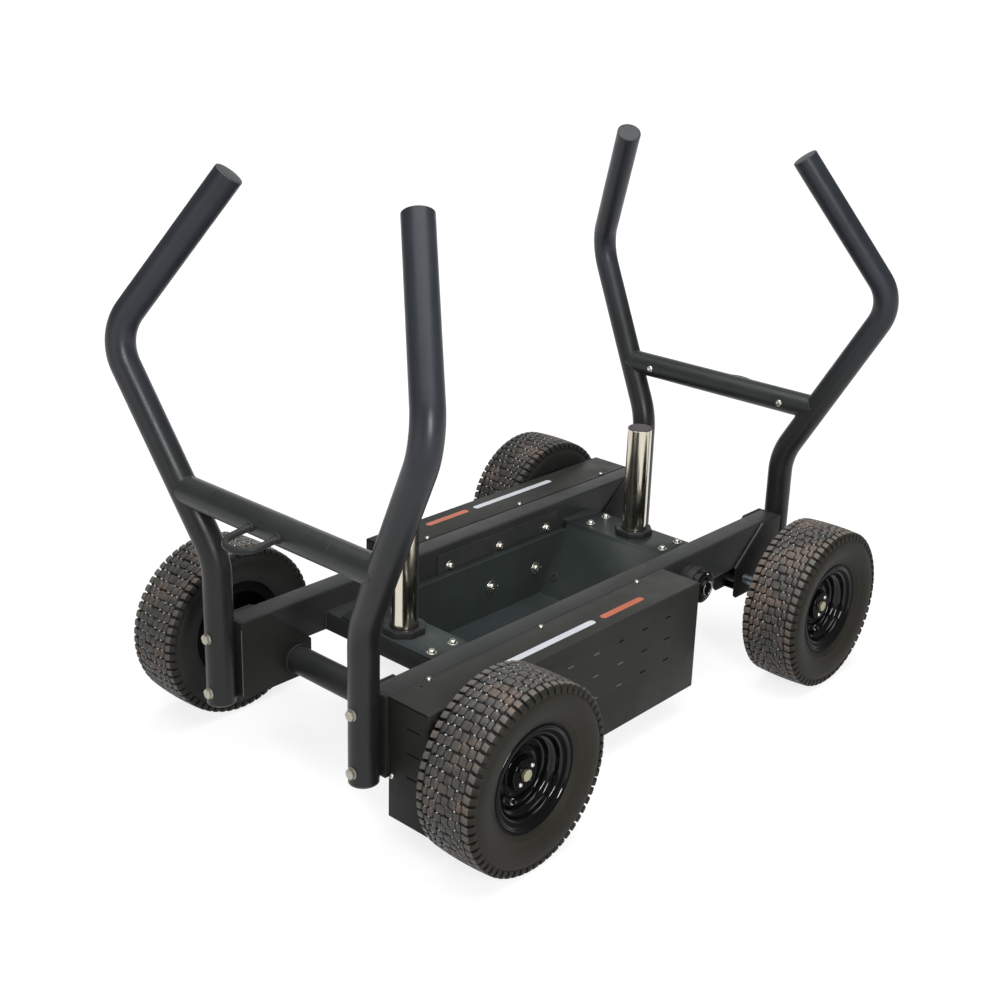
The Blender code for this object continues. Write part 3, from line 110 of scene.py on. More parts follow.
class Nodes:
    """A new material and short names for its nodes. A value is a socket or a constant."""

    def __init__(self, name):
        self.material = bpy.data.materials.new(name)
        self.material.use_nodes = True
        self.tree = self.material.node_tree
        self.shader = self.tree.nodes["Principled BSDF"]

    def fill(self, node, values):
        """Feed a node's inputs by name or number; None leaves one as it is."""
        for key, value in values.items():
            if isinstance(value, bpy.types.NodeSocket):
                self.tree.links.new(value, node.inputs[key])
            elif value is not None:
                node.inputs[key].default_value = value
        return node.outputs

    def add(self, kind, values):
        return self.fill(self.tree.nodes.new(kind), values)

    def own(self, kind="Object"):
        """Place or direction in the piece's own coordinates."""
        return self.add("ShaderNodeTexCoord", {})[kind]

    def parts(self, vector):
        """The X, Y and Z of a vector."""
        return self.add("ShaderNodeSeparateXYZ", {0: vector})

    def math(self, operation, *values):
        node = self.tree.nodes.new("ShaderNodeMath")
        node.operation = operation
        return self.fill(node, dict(enumerate(values)))[0]

    def noise(self, scale, detail, rough):
        """Cloudy value from 0 to 1; scale is in cycles per metre."""
        return self.add("ShaderNodeTexNoise", {"Vector": self.own(), "Scale": scale,
            "Detail": detail, "Roughness": rough})["Fac"]

    def spread(self, value, low, high, to_low=0, to_high=1, smooth=False):
        """The value carried over from one range to another, and held at its ends."""
        node = self.tree.nodes.new("ShaderNodeMapRange")
        node.interpolation_type = "SMOOTHSTEP" if smooth else "LINEAR"
        return self.fill(node, dict(enumerate((value, low, high, to_low, to_high))))[0]

    def blend(self, factor, a, b):
        """Mix of two colours, each one a socket or three display values."""
        node = self.tree.nodes.new("ShaderNodeMix")
        node.data_type = "RGBA"
        a, b = (linear(*c) if isinstance(c, tuple) else c for c in (a, b))
        return self.fill(node, {0: factor, 6: a, 7: b})[2]

    def tones(self, a, b, cloud=7):
        """Large soft clouds of two colours."""
        return self.blend(self.spread(self.noise(cloud, 4, 0.55), 0.35, 0.65), a, b)

    def bump(self, height, distance, strength=1, normal=None):
        return self.add("ShaderNodeBump", {"Height": height, "Distance": distance,
            "Strength": strength, "Normal": normal})[0]


# Camera, floor and light

def make_camera():
    """The photograph's own view: where it was taken from, its direction, lens and offset."""
    yaw, pitch, roll = 0.693, -0.3388, 0.0462
    width, focal, middle = 1000, 1460.37, (564.75, 458.51)
    ahead = Vector((cos(pitch) * cos(yaw), cos(pitch) * sin(yaw), sin(pitch)))
    right = ahead.cross(Vector(UP)).normalized()
    up = right.cross(ahead)
    turned_right = right * cos(roll) + up * sin(roll)
    turned_up = -right * sin(roll) + up * cos(roll)
    data = bpy.data.cameras.new("camera")
    data.sensor_width = 36
    data.lens = focal * 36 / width
    data.shift_x = (width / 2 - middle[0]) / width
    data.shift_y = (middle[1] - width / 2) / width
    data.clip_end = 300
    matrix = Matrix((turned_right, turned_up, -ahead)).transposed().to_4x4()
    matrix.translation = Vector((-1.9787, -1.7216, 1.412))
    scene.camera = linked("camera", data)
    scene.camera.matrix_world = matrix


def area_light(name, at, aim, size, power, color=(1, 1, 1)):
    data = bpy.data.lights.new(name, "AREA")
    data.shape = "RECTANGLE"
    data.size, data.size_y = size
    data.energy = power
    data.color = color
    lamp = linked(name, data)
    lamp.location = at
    lamp.rotation_euler = (Vector(aim) - Vector(at)).to_track_quat("-Z", "Y").to_euler()
    lamp.visible_camera = False


def make_stage():
    """White studio: a pale world, a floor that is brighter in sight than as a lamp, four lamps."""
    world = bpy.data.worlds.new("studio")
    world.use_nodes = True
    sky = world.node_tree.nodes["Background"].inputs
    sky["Color"].default_value, sky["Strength"].default_value = (1, 1, 1, 1), 0.22
    scene.world = world
    bm = bmesh.new()
    bmesh.ops.create_circle(bm, cap_ends=True, segments=64, radius=90)
    floor = linked("floor", plain_mesh("floor", bm))
    n = Nodes("floor_paper")
    paper = n.fill(n.shader, {"Base Color": (0.24, 0.24, 0.24, 1), "Roughness": 0.95,
        "Specular IOR Level": 0})[0]
    length = n.tree.nodes.new("ShaderNodeVectorMath")
    length.operation = "LENGTH"
    away = n.fill(length, {0: n.own()})["Value"]
    glow = n.add("ShaderNodeEmission", {"Strength": n.spread(away, 1.2, 3.5, 0.8, 1, True)})[0]
    ray = n.add("ShaderNodeLightPath", {})
    seen = n.math("MAXIMUM", ray["Is Camera Ray"], ray["Is Glossy Ray"])
    seen = n.math("MAXIMUM", seen, ray["Is Transmission Ray"])
    bright = n.add("ShaderNodeAddShader", {0: paper, 1: glow})[0]
    surface = n.add("ShaderNodeMixShader", {0: seen, 1: paper, 2: bright})[0]
    n.fill(n.tree.nodes["Material Output"], {"Surface": surface})
    floor.data.materials.append(n.material)
    area_light("softbox", (-0.2, -0.2, 3), (0, 0, 0.3), (3.2, 3.2), 122, (0.98, 0.99, 1))
    area_light("backdrop", (3.6, 2.9, 1.5), (0, 0, 0.4), (4.5, 2.2), 28)
    area_light("fill", (-3.6, 0.2, 1.1), (0, 0, 0.3), (2.2, 1.8), 14, (1, 0.98, 0.95))
    area_light("key", (-1.95, -3.2, 1.9), (-0.5, -0.3, 0.6), (0.6, 1.6), 105)


# Finishes

def coat(name, base, shade, rough, grain, relief, specular=0.5, metallic=0, cloud=7, gloss=28):
    """Paint, plastic or metal: two close tones, uneven gloss and a fine surface grain."""
    n = Nodes(name)
    n.fill(n.shader, {"Base Color": n.tones(base, shade, cloud),
        "Roughness": n.spread(n.noise(gloss, 4, 0.6), 0.3, 0.7, *rough),
        "Normal": n.bump(n.noise(grain, 2, 0.5), relief), "Metallic": metallic,
        "Specular IOR Level": specular})
    return n


def handle_finish(name, dark, light):
    """Satin paint, with a painted bluish reflection of the light from above that grows towards the
    grips.
    """
    n = coat(name, dark, light, (0.32, 0.42), 1400, 0.00005, 0.3)
    grip = n.spread(n.parts(n.own())["Z"], 0.5, 0.78, smooth=True)
    # Painted reflection: the upper parts take a bluer tone, as if lit from above
    painted_blue_reflection = n.tones((32, 35, 40), (38, 41, 47))
    n.fill(n.shader, {"Base Color": n.blend(grip, n.tones(dark, light), painted_blue_reflection)})
    return n


def rim_finish():
    """Gloss black: its rings mirror the studio, its flat faces hardly."""
    n = coat("rim_gloss", (9, 9, 10), (13, 13, 14), (0.05, 0.09), 300, 0.00001)
    flat = n.math("ABSOLUTE", n.parts(n.own("Normal"))["Y"])
    n.fill(n.shader, {"Specular IOR Level": n.spread(flat, 0.78, 0.96, 0.3, 0.02)})
    return n


def tyre_finish():
    """Rubber: dusty block tops, shoulders lightened as a painted highlight, grooves darkened as
    painted shade, wall slits in painted shade with a pressed edge, and a plain wall.
    """
    n = Nodes("tyre_rubber")
    own = n.parts(n.own())
    x, y, z = (own[axis] for axis in "XYZ")
    x2, y2, z2 = (n.math("MULTIPLY", c, c) for c in (x, y, z))
    radius = n.math("SQRT", n.math("ADD", x2, z2))
    across = n.math("ABSOLUTE", y)
    crown = n.math("MULTIPLY_ADD", y2, -0.826, TYRE_R)
    # Painted shade: the grooves darken towards their floor
    groove_shade = n.spread(n.math("SUBTRACT", crown, radius), 0.0008, 0.0034, smooth=True)
    wall = n.math("MAXIMUM", n.spread(radius, 0.1565, 0.159, 1, 0, True),
        n.spread(across, 0.054, 0.055))

    # The wheels differ a little: the front right one is dustier, and the front left one is
    # darkened all over as painted shade
    spot = n.parts(n.add("ShaderNodeObjectInfo", {})["Location"])
    worn = n.spread(n.math("SUBTRACT", spot["X"], spot["Y"]), 0.3, 0.8, 0, 0.05)
    far_wheel_shade = n.spread(n.math("ADD", spot["X"], spot["Y"]), 0.3, 0.8, 0, 0.6)
    cloud = n.math("ADD", n.noise(13, 5, 0.62), worn)
    speck = n.spread(n.noise(260, 3, 0.6), 0.42, 0.66)
    dusty = n.math("MULTIPLY", n.spread(cloud, 0.5, 0.66, smooth=True),
        n.math("MULTIPLY_ADD", speck, 0.7, 0.3))

    each = n.spread(n.noise(90, 1, 0.5), 0.38, 0.62)
    plain = n.blend(each, (60, 60, 59), (75, 73, 70))
    # Painted highlight: the shoulder rows are lighter
    plain = n.blend(n.spread(across, 0.043, 0.0455), plain, (88, 86, 81))
    plain = n.blend(far_wheel_shade, plain, (40, 39, 37))
    top = n.blend(dusty, plain, (110, 94, 83))
    tread = n.blend(groove_shade, top, (42, 39, 36))

    # Painted shade in the pockets between the shoulder ribs, also pressed in as a bump
    angle = n.math("MULTIPLY_ADD", n.math("ARCTAN2", z, x), float(LUGS), -pi / 2)
    slit_shade_mask = n.math("MULTIPLY", n.spread(n.math("SINE", angle), 0.55, 0.85, smooth=True),
        n.spread(radius, 0.149, 0.1525, smooth=True))
    side = n.blend(n.spread(n.noise(6, 3, 0.5), 0.35, 0.65), (30, 29, 23), (36, 34, 27))
    side = n.blend(n.spread(y, 0.02, 0.04), side, (30, 30, 28))
    side = n.blend(slit_shade_mask, side, (24, 23, 20))

    normal = n.bump(n.noise(160, 3, 0.5), 0.0003, 0.6)
    normal = n.bump(n.noise(1500, 2, 0.5), 0.00012, 0.6, normal)
    normal = n.bump(n.math("SUBTRACT", 1, slit_shade_mask), 0.001, 0.8, normal)
    matt = n.spread(dusty, 0, 1, 0.44, 0.78)
    n.fill(n.shader, {"Base Color": n.blend(wall, tread, side),
        "Roughness": n.spread(wall, 0, 1, matt, 0.6), "Normal": normal, "Specular IOR Level": 0.2})
    return n


# Each row holds what coat takes after the name, in its order
COATS = {
    "frame_coat": ((40, 41, 41), (46, 47, 46), (0.32, 0.44), 1400, 0.00006, 0.12),
    # Seam welds: lighter than the frame paint, as a painted highlight
    "weld_painted_highlight": ((70, 71, 70), (82, 83, 82), (0.34, 0.46), 1400, 0.00006, 0.3),
    "bracket_coat": ((33, 34, 32), (39, 40, 37), (0.4, 0.52), 1400, 0.00007, 0.09),
    "cover_coat": ((42, 42, 40), (47, 47, 44), (0.36, 0.48), 1800, 0.00004, 0.07, 0, 4),
    "tray_coat": ((40, 45, 44), (48, 54, 53), (0.34, 0.46), 1500, 0.00005, 0.14, 0, 5),
    # Chrome tinted beige: a painted warm reflection
    "post_chrome": ((204, 197, 180), (210, 204, 188), (0.12, 0.2), 900, 0.000004, 0.5, 1),
    "zinc_steel": ((214, 212, 204), (196, 194, 184), (0.26, 0.4), 700, 0.00002, 0.5, 1, 60, 200),
    "bare_steel": ((150, 150, 148), (168, 168, 165), (0.28, 0.45), 900, 0.00004, 0.5, 1, 25),
    "shaft_steel": ((172, 182, 186), (140, 150, 154), (0.28, 0.42), 700, 0.00003, 0.5, 1, 60),
    "zinc_dull": ((182, 178, 166), (158, 154, 142), (0.36, 0.5), 600, 0.00003, 0.5, 0.85, 60, 200),
    "nut_beige": ((168, 164, 138), (152, 148, 124), (0.34, 0.46), 600, 0.00003, 0.5, 0.7, 80),
    # Pale tread studs: a painted glint
    "tread_pin": ((196, 199, 199), (158, 161, 160), (0.22, 0.36), 900, 0.00003, 0.5, 0, 300),
    # Pale vent blades: a painted highlight on the lips of the vents
    "louvre_painted_highlight": ((92, 92, 86), (78, 78, 72), (0.4, 0.5), 900, 0.00004, 0.3),
    "belt_rubber": ((30, 30, 29), (40, 39, 37), (0.6, 0.75), 900, 0.00012, 0.3),
    "black_plastic": ((29, 30, 30), (36, 37, 36), (0.36, 0.5), 1100, 0.00008, 0.14),
    "post_cap_plastic": ((58, 54, 58), (66, 62, 66), (0.45, 0.6), 1100, 0.00008, 0.3),
    "cap_plastic": ((46, 49, 49), (54, 57, 57), (0.42, 0.55), 1200, 0.00008, 0.25),
    "plug_plastic": ((66, 65, 59), (56, 55, 50), (0.45, 0.6), 900, 0.00008),
    "dial_gloss": ((12, 12, 13), (17, 17, 18), (0.2, 0.3), 500, 0.00003, 0.14),
    # Pale dial marks, also used for a painted highlight on the boss
    "dial_mark": ((165, 168, 165), (140, 142, 140), (0.35, 0.5), 700, 0.00003),
    "stripe_pale": ((180, 183, 187), (168, 171, 176), (0.35, 0.5), 900, 0.00004),
    "stripe_orange": ((164, 84, 58), (148, 74, 50), (0.38, 0.52), 900, 0.00004),
}
FINISHES = {name: coat(name, *values).material for name, values in COATS.items()}
FINISHES.update({
    "handle_coat": handle_finish("handle_coat", (23, 25, 24), (27, 29, 28)).material,
    # The crossbars take a lighter copy of the handle paint, as painted light
    "bar_coat": handle_finish("bar_coat", (35, 37, 37), (41, 43, 43)).material,
    "rim_gloss": rim_finish().material, "tyre_rubber": tyre_finish().material})


# Pieces from meshes

def smoothed(mesh, angle):
    """Smooth shading, broken at edges sharper than the angle."""
    mesh.shade_smooth()
    mesh.set_sharp_from_angle(angle=radians(angle))
    return mesh


def mesh_from(name, bm, smooth=35):
    bmesh.ops.recalc_face_normals(bm, faces=bm.faces)
    return smoothed(plain_mesh(name, bm), smooth)


def piece_of(name, mesh, finish, body="frame", turn=False, place=None):
    """A mesh as a piece on a body: as drawn, after a half turn about the middle, or placed.

    A slash ends the name of the solid that the piece replaces, and becomes a _ in its own.
    """
    obj = linked(name.replace("/", "_"), mesh)
    if turn:
        obj.rotation_euler.z = pi
    if place:
        obj.matrix_world = place
    if not mesh.materials:
        mesh.materials.append(FINISHES[finish])
    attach(obj, body)
    if "/" in name:
        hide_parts(name.split("/")[0])
    return obj


def piece(name, bm, finish, smooth=35):
    piece_of(name, mesh_from(name, bm, smooth), finish)


def both(name, shape, finish, smooth=35, places=RIGHT_LEFT, bodies=("frame", "frame")):
    """The same mesh twice, as drawn and after a half turn; * in a name becomes the place."""
    if not isinstance(shape, bpy.types.Mesh):
        shape = mesh_from(name.replace("*", places[0]), shape, smooth)
    for place, body, turn in zip(places, bodies, (False, True)):
        piece_of(name.replace("*", place), shape, finish, body, turn)


def carved(bm, cutter, name):
    """The shape in bm less the one in cutter, as a mesh."""
    objects = []
    for shape in (bm, cutter):
        bmesh.ops.recalc_face_normals(shape, faces=shape.faces)
        objects.append(linked(name, plain_mesh(name, shape)))
    cut = objects[0].modifiers.new("cut", "BOOLEAN")
    cut.object = objects[1]
    cut.solver = "EXACT"
    cut.use_self = True
    bpy.context.view_layer.update()
    ready = objects[0].evaluated_get(bpy.context.evaluated_depsgraph_get())
    mesh = bpy.data.meshes.new_from_object(ready)
    for obj in objects:
        bpy.data.objects.remove(obj, do_unlink=True)
    mesh.name = name
    return smoothed(mesh, 30)


# Shapes

def rounded(bm, edges, width, segments=2):
    bmesh.ops.bevel(bm, geom=list(edges), offset=width, segments=segments, affect="EDGES",
        profile=0.5)


def box(bm, xs, ys, zs, bevel=0, segments=2):
    size = (xs[1] - xs[0], ys[1] - ys[0], zs[1] - zs[0], 1)
    centre = [(a + b) / 2 for a, b in (xs, ys, zs)]
    verts = bmesh.ops.create_cube(bm, size=1, matrix=Matrix.Translation(centre)
        @ Matrix.Diagonal(size))["verts"]
    if bevel:
        rounded(bm, {edge for vert in verts for edge in vert.link_edges}, bevel, segments)


def on_axis(axis, a, b, c):
    """A point at c along an axis; a and b follow the two other axes in their order."""
    return {"X": (c, a, b), "Y": (a, c, b), "Z": (a, b, c)}[axis]


def prism(bm, outline, low, high, axis, bevel=0, only=None):
    """Extrude an outline along an axis; bevel rounds every edge, or those that only picks."""
    rings = [[bm.verts.new(on_axis(axis, a, b, c)) for a, b in outline] for c in (low, high)]
    faces = [bm.faces.new(ring) for ring in rings]
    for i in range(len(outline)):
        j = (i + 1) % len(outline)
        faces.append(bm.faces.new((rings[0][i], rings[0][j], rings[1][j], rings[1][i])))
    if bevel:
        edges = {edge for face in faces for edge in face.edges}
        if only:
            edges = {edge for edge in edges if only(edge)}
        bmesh.ops.recalc_face_normals(bm, faces=faces)
        rounded(bm, edges, bevel)


def skin(bm, rows, ends=True):
    """Faces between rows of vertices, where a row may be one vertex, and over both ends."""
    sides = max(len(row) for row in rows)
    for low, high in zip(rows, rows[1:]):
        for i in range(sides):
            j = (i + 1) % sides
            corners = dict.fromkeys((low[i % len(low)], low[j % len(low)], high[j % len(high)],
                high[i % len(high)]))
            if len(corners) > 2:
                bm.faces.new(list(corners))
    for row in (rows[0], rows[-1]) if ends else ():
        if len(row) > 2:
            bm.faces.new(row)


def turned(bm, profile, sides, at=(0, 0, 0), along=UP, ring=False):
    """Turn a (radius, distance) profile about an axis through at; ring closes it on itself."""
    start = len(bm.verts)
    rows = []
    for radius, height in profile:
        spots = [polar(radius, a) for a in around(sides)] if radius >= 1e-7 else [(0, 0)]
        rows.append([bm.verts.new((*spot, height)) for spot in spots])
    skin(bm, rows + rows[:1] if ring else rows, not ring)
    bm.verts.ensure_lookup_table()
    bmesh.ops.transform(bm, matrix=Matrix.Translation(at) @ turn_to(along).to_4x4(),
        verts=bm.verts[start:])
    return bm


def rounded_path(points, radii, steps):
    """Points of a path whose inner corners are replaced by arcs."""
    points = [Vector(p) for p in points]
    path = [points[0]]
    for before, here, after, radius in zip(points, points[1:], points[2:], radii):
        arm_in = (before - here).normalized()
        arm_out = (after - here).normalized()
        half = arm_in.angle(arm_out) / 2
        setback = radius / tan(half)
        centre = here + (arm_in + arm_out).normalized() * (radius / sin(half))
        start = here + arm_in * setback
        spin = (start - centre).cross(here + arm_out * setback - centre).normalized()
        for k in range(steps + 1):
            turn = Matrix.Rotation((pi - 2 * half) * k / steps, 3, spin)
            path.append(centre + turn @ (start - centre))
    path.append(points[-1])
    return path


def sweep(bm, path, radius, sides, loop=False, ripple=0):
    """Round bar along a path; ripple varies its radius from ring to ring, as a weld bead does."""
    path = [Vector(p) for p in path]
    count = len(path)
    normal = None
    rings = []
    for k, spot in enumerate(path):
        if loop:
            tangent = path[(k + 1) % count] - path[k - 1]
        else:
            tangent = path[min(k + 1, count - 1)] - path[max(k - 1, 0)]
        tangent.normalize()
        if normal is None:
            normal = tangent.orthogonal().normalized()
        normal = (normal - tangent * normal.dot(tangent)).normalized()
        side = tangent.cross(normal)
        r = radius * (1 + ripple * (1 if k % 2 else -1))
        rings.append([bm.verts.new(spot + (normal * cos(a) + side * sin(a)) * r)
            for a in around(sides)])
    if loop:
        last, first = rings[-1], rings[0]
        shift = min(range(sides), key=lambda s: (first[s].co - last[0].co).length)
        rings.append(first[shift:] + first[:shift])
    skin(bm, rings, not loop)


def divided(path, step):
    """The path cut into pieces of about the same length."""
    path = [Vector(p) for p in path]
    out = [path[0]]
    for a, b in zip(path, path[1:]):
        parts = max(1, round((b - a).length / step))
        out += [a.lerp(b, k / parts) for k in range(1, parts + 1)]
    return out


def bead(bm, path, radius, loop=False):
    """Weld bead laid along a path."""
    spots = divided(list(path) + ([path[0]] if loop else []), 0.0022)
    sweep(bm, spots[:-1] if loop else spots, radius, 8, loop, 0.1)


def circle(centre, radius, axis, count=48):
    turn = turn_to(axis)
    return [Vector(centre) + turn @ Vector((*polar(radius, a), 0)) for a in around(count)]


def rounded_rect(a0, a1, b0, b1, r):
    corners = ((a1 - r, b1 - r), (a0 + r, b1 - r), (a0 + r, b0 + r), (a1 - r, b0 + r))
    return [spot for i, centre in enumerate(corners) for spot in arc(centre, r, 90 * i, 90, 5)]


def slot_outline(length, height, steps=6):
    """Rounded slot about the origin."""
    r = height / 2
    return (arc((length / 2 - r, 0), r, -90, 180, steps)
        + arc((-length / 2 + r, 0), r, 90, 180, steps))


def hollow(bm, outer, inner, low, high, axis):
    """Square tube along an axis, between two outlines that have as many points each."""
    rings = [[bm.verts.new(on_axis(axis, a, b, c)) for a, b in outline]
        for c, outline in ((low, outer), (high, outer), (high, inner), (low, inner))]
    skin(bm, rings + rings[:1], False)


def hex_head(bm, flats, height, at, out, spin=0):
    """Chamfered hexagon head or nut standing on at, with its top rounded off towards a circle."""
    corner, sixth = flats / 2 / cos(pi / 6), pi / 3
    matrix = Matrix.Translation(at) @ turn_to(out).to_4x4() @ Matrix.Rotation(spin, 4, "Z")
    rows = []
    for z, share in ((0, 1), (height * 0.8, 1), (height * 0.97, 0.93), (height, 0.86)):
        rows.append([])
        for a in around(24):
            in_sector = (a + sixth / 2) % sixth - sixth / 2
            r = min(flats / 2 / cos(in_sector), corner * share)
            if z == height:
                r = corner * share * 0.96
            rows[-1].append(bm.verts.new(matrix @ Vector((*polar(r, a), z))))
    skin(bm, rows)


def washer(bm, outer, thick, at, out, bore=0):
    edge = min(0.0004, thick * 0.3)
    r = outer / 2
    profile = [(r, 0), (r, thick - edge), (r - edge, thick)]
    if bore:
        profile = [(bore / 2, 0), *profile, (bore / 2, thick)]
    turned(bm, profile, 32, at, out, ring=bool(bore))


def scaled(profile, radius, height):
    return [(radius * a, height * b) for a, b in profile]


def button_screw(bm, size, at, out):
    """Low round-head screw with a hollow in its top."""
    turned(bm, scaled(((1, 0), (0.99, 0.35), (0.86, 0.78), (0.6, 1), (0.42, 1), (0.36, 0.35),
        (0, 0.35)), size / 2, size * 0.42), 24, at, out)


def domed(bm, size, height, at, out):
    """Domed screw head on a short straight edge."""
    turned(bm, scaled(((1, 0), (1, 0.35), (0.94, 0.62), (0.78, 0.84), (0.5, 0.96), (0, 1)),
        size / 2, height), 24, at, out)


# Handles, crossbars, tow rings

def handle_path(end, side):
    x, y = end * HANDLE_X, side * HANDLE_Y
    corners = [(x, y, HANDLE_FOOT + 0.0008), (x, y, LOW_BEND),
        (x + end * ELBOW_OUT[0], y + side * ELBOW_OUT[1], ELBOW_Z),
        (x - end * TIP_IN[0], y + side * TIP_IN[1], TIP_Z)]
    return rounded_path(corners, (0.14, 0.09), 22)


def saddle(end, side):
    """Closed line where a crossbar socket runs into its slanting handle, found by halving."""
    low = Vector((end * HANDLE_X, side * HANDLE_Y, LOW_BEND))
    elbow = Vector((end * (HANDLE_X + ELBOW_OUT[0]), side * (HANDLE_Y + ELBOW_OUT[1]), ELBOW_Z))
    run = (elbow - low).normalized()
    line = []
    for a in around(56):
        spot = Vector((end * BAR_X + TUBE_R * cos(a), 0, BAR_Z + TUBE_R * sin(a)))
        near, far = 0, 0.25
        for _ in range(22):
            middle = (near + far) / 2
            spot.y = side * middle
            away = spot - low
            if (away - run * away.dot(run)).length > TUBE_R:
                near = middle
            else:
                far = middle
        line.append(spot.copy())
    return line


def make_handles():
    r, plug_r, cap_height, socket_end = TUBE_R, 0.0215, 0.0022, HANDLE_Y + 0.0609
    cap = [(plug_r, -0.012), (plug_r, 0), (r - 0.0003, 0), (r - 0.0002, 0.001),
        (r - 0.0012, 0.0019), (0.018, 0.0024), (0, 0.0026)]
    plug = [(plug_r, -0.012), (plug_r, 0), (r - 0.0001, 0), (r, 0.0024), (r - 0.0012, 0.0034),
        (0, 0.0036)]
    caps, plugs, bolts, screws, sockets = (bmesh.new() for _ in range(5))
    for where, end, side in CORNERS:
        bm = bmesh.new()
        path = handle_path(end, side)
        run = (path[-1] - path[-2]).normalized()
        path[-1] = path[-1] - run * cap_height
        sweep(bm, path, r, 40)
        x = end * BAR_X
        sweep(sockets, [(x, side * (BAR_HALF + 0.0002), BAR_Z), (x, side * socket_end, BAR_Z)], r,
            48)
        bead(sockets, saddle(end, side), 0.0012, loop=True)
        piece(f"handle_{where}/tube", bm, "handle_coat", 50)
        turned(caps, cap, 40, path[-1], run)
        turned(plugs, plug, 40, path[0], (0, 0, -1))
        out = (end, 0, 0)
        for z in (0.2555, 0.1505):
            face = (end * (HANDLE_X + r - 0.0008), side * HANDLE_Y, z)
            washer(bolts, 0.0205, 0.0012, face, out)
            hex_head(bolts, 0.0165, 0.007, face, out, 0.2 + z)
        seat = (end * (BAR_X - r + 0.0004), side * (BAR_HALF + 0.027), BAR_Z)
        domed(screws, 0.0145, 0.0052, seat, (-end, 0, 0))
    piece("handle_caps", caps, "cap_plastic", 50)
    piece("handle_foot_plugs", plugs, "plug_plastic", 50)
    piece("handle_bolts", bolts, "zinc_dull", 35)
    piece("crossbar_screws", screws, "zinc_steel", 40)
    piece("crossbar_sockets", sockets, "bar_coat", 50)


def make_crossbars():
    half, edge, r = BAR_HALF - 0.0001, 0.0004, TUBE_R
    profile = [(0.022, -half - 0.03), (0.022, -half), (r - edge, -half), (r, -half + edge),
        (r, half - edge), (r - edge, half), (0.022, half), (0.022, half + 0.03)]
    ring_y, ring_bend = 0.034, 0.0325
    for name, end in ENDS:
        bm = turned(bmesh.new(), profile, 48, (end * BAR_X, 0, BAR_Z), LEFT)
        piece(f"crossbar_{name}/tube", bm, "bar_coat", 30)
        bm = bmesh.new()
        start, tip = end * (BAR_X + r - 0.0015), end * (BAR_X + r + 0.066)
        low = BAR_Z - 0.008
        corners = [(start, ring_y, BAR_Z), (tip, ring_y, low), (tip, -ring_y, low),
            (start, -ring_y, BAR_Z)]
        sweep(bm, rounded_path(corners, (ring_bend, ring_bend), 14), 0.006, 20)
        for y in (-ring_y, ring_y):
            foot = (end * (BAR_X + r + 0.0002), y, BAR_Z)
            bead(bm, circle(foot, 0.0062, (1, 0, 0), 20), 0.0022, loop=True)
            for k in range(5):
                a = radians(20 + 72 * k)
                spike = (foot[0] + end * 0.001, y + 0.0066 * cos(a), BAR_Z + 0.0066 * sin(a))
                turned(bm, mm(2.2, 0, 1.2, 2.8, 0, 4.2), 8, spike,
                    (end, 0.5 * cos(a), 0.5 * sin(a)))
        piece(f"tow_ring_{name}/bar", bm, "frame_coat", 60)


# Rails, brackets, axle tubes

def make_rails():
    wall = 0.003
    bm = bmesh.new()
    outer = rounded_rect(-RAIL_OUT, -RAIL_IN, RAIL_LOW, RAIL_TOP, 0.0045)
    inner = rounded_rect(-RAIL_OUT + wall, -RAIL_IN - wall, RAIL_LOW + wall, RAIL_TOP - wall,
        0.002)
    hollow(bm, outer, inner, -RAIL_END, RAIL_END, "X")
    both("rail_*/tube", bm, "frame_coat", 25)


def bracket(side):
    """Plates of a rear end bracket with its welds; the left one is plated on both faces."""
    back, end, low, blunt = -0.572, -RAIL_END, HANDLE_FOOT, 0.0007
    plate_in, plate_out = (0.1577, 0.1627), (0.2083, 0.2133)
    outline = [(back, RAIL_TOP), (end + 0.054, RAIL_TOP), (end + 0.1475, RAIL_LOW),
        (end + 0.1475, low + 0.006), (end + 0.1415, low), (back, low)]
    bm = bmesh.new()
    prism(bm, outline, *sorted(side * y for y in plate_in), "Y", blunt)
    if side > 0:
        prism(bm, outline, *plate_out, "Y", blunt)
    ys = sorted((side * 0.1622, side * (plate_out[0] if side > 0 else RAIL_OUT)))
    box(bm, (back, end - 0.0003), ys, (low, RAIL_TOP), blunt)
    box(bm, (back + 0.004, end + 0.109), ys, (low, low + 0.005), blunt)

    def weld(y, x0, z0, x1, z1, radius):
        bead(bm, [(end + x0, side * y, z0), (end + x1, side * y, z1)], radius)

    lip = (0.012, RAIL_TOP - 0.0012, 0.05, RAIL_TOP - 0.0012, 0.0018)
    weld(0.1632, 0, RAIL_LOW - 0.004, 0, low + 0.008, 0.0022)
    weld(0.1632, 0.004, low + 0.0055, 0.104, low + 0.0055, 0.0022)
    weld(plate_in[1], *lip)
    if side > 0:
        sleeve = mm(10.5, 162.4, 15, 162.4, 15, 208.6, 10.5, 208.6)
        turned(bm, sleeve, 40, (-AXLE_X, 0, AXLE_Z), (0, side, 0), ring=True)
        weld(plate_out[0], *lip)
    else:
        weld(RAIL_OUT - 0.0008, 0, RAIL_LOW - 0.003, 0, low + 0.008, 0.002)
    return bm


def make_brackets():
    both("bracket_*/plates", bracket(-1), "bracket_coat", 50, ("rear_right", "front_left"))
    both("bracket_*/plates", bracket(1), "bracket_coat", 50, ("rear_left", "front_right"))
    seam_x, seam_y, slope_y = -0.5718, 0.1579, 0.2092
    for kind, side in (("plain", -1), ("plated", 1)):
        bm = bmesh.new()
        bead(bm, [(seam_x, side * seam_y, HANDLE_FOOT + 0.006),
            (seam_x, side * seam_y, RAIL_TOP - 0.012)], 0.0012)
        if side > 0:
            bead(bm, [(-RAIL_END + 0.056, slope_y, RAIL_TOP - 0.003),
                (-RAIL_END + 0.148, slope_y, RAIL_LOW + 0.001)], 0.0021)
        # These beads are painted lighter than the frame, as a painted highlight on the plate edges
        both(f"bracket_{kind}_seam_*", bm, "weld_painted_highlight", 50, REAR_FRONT)


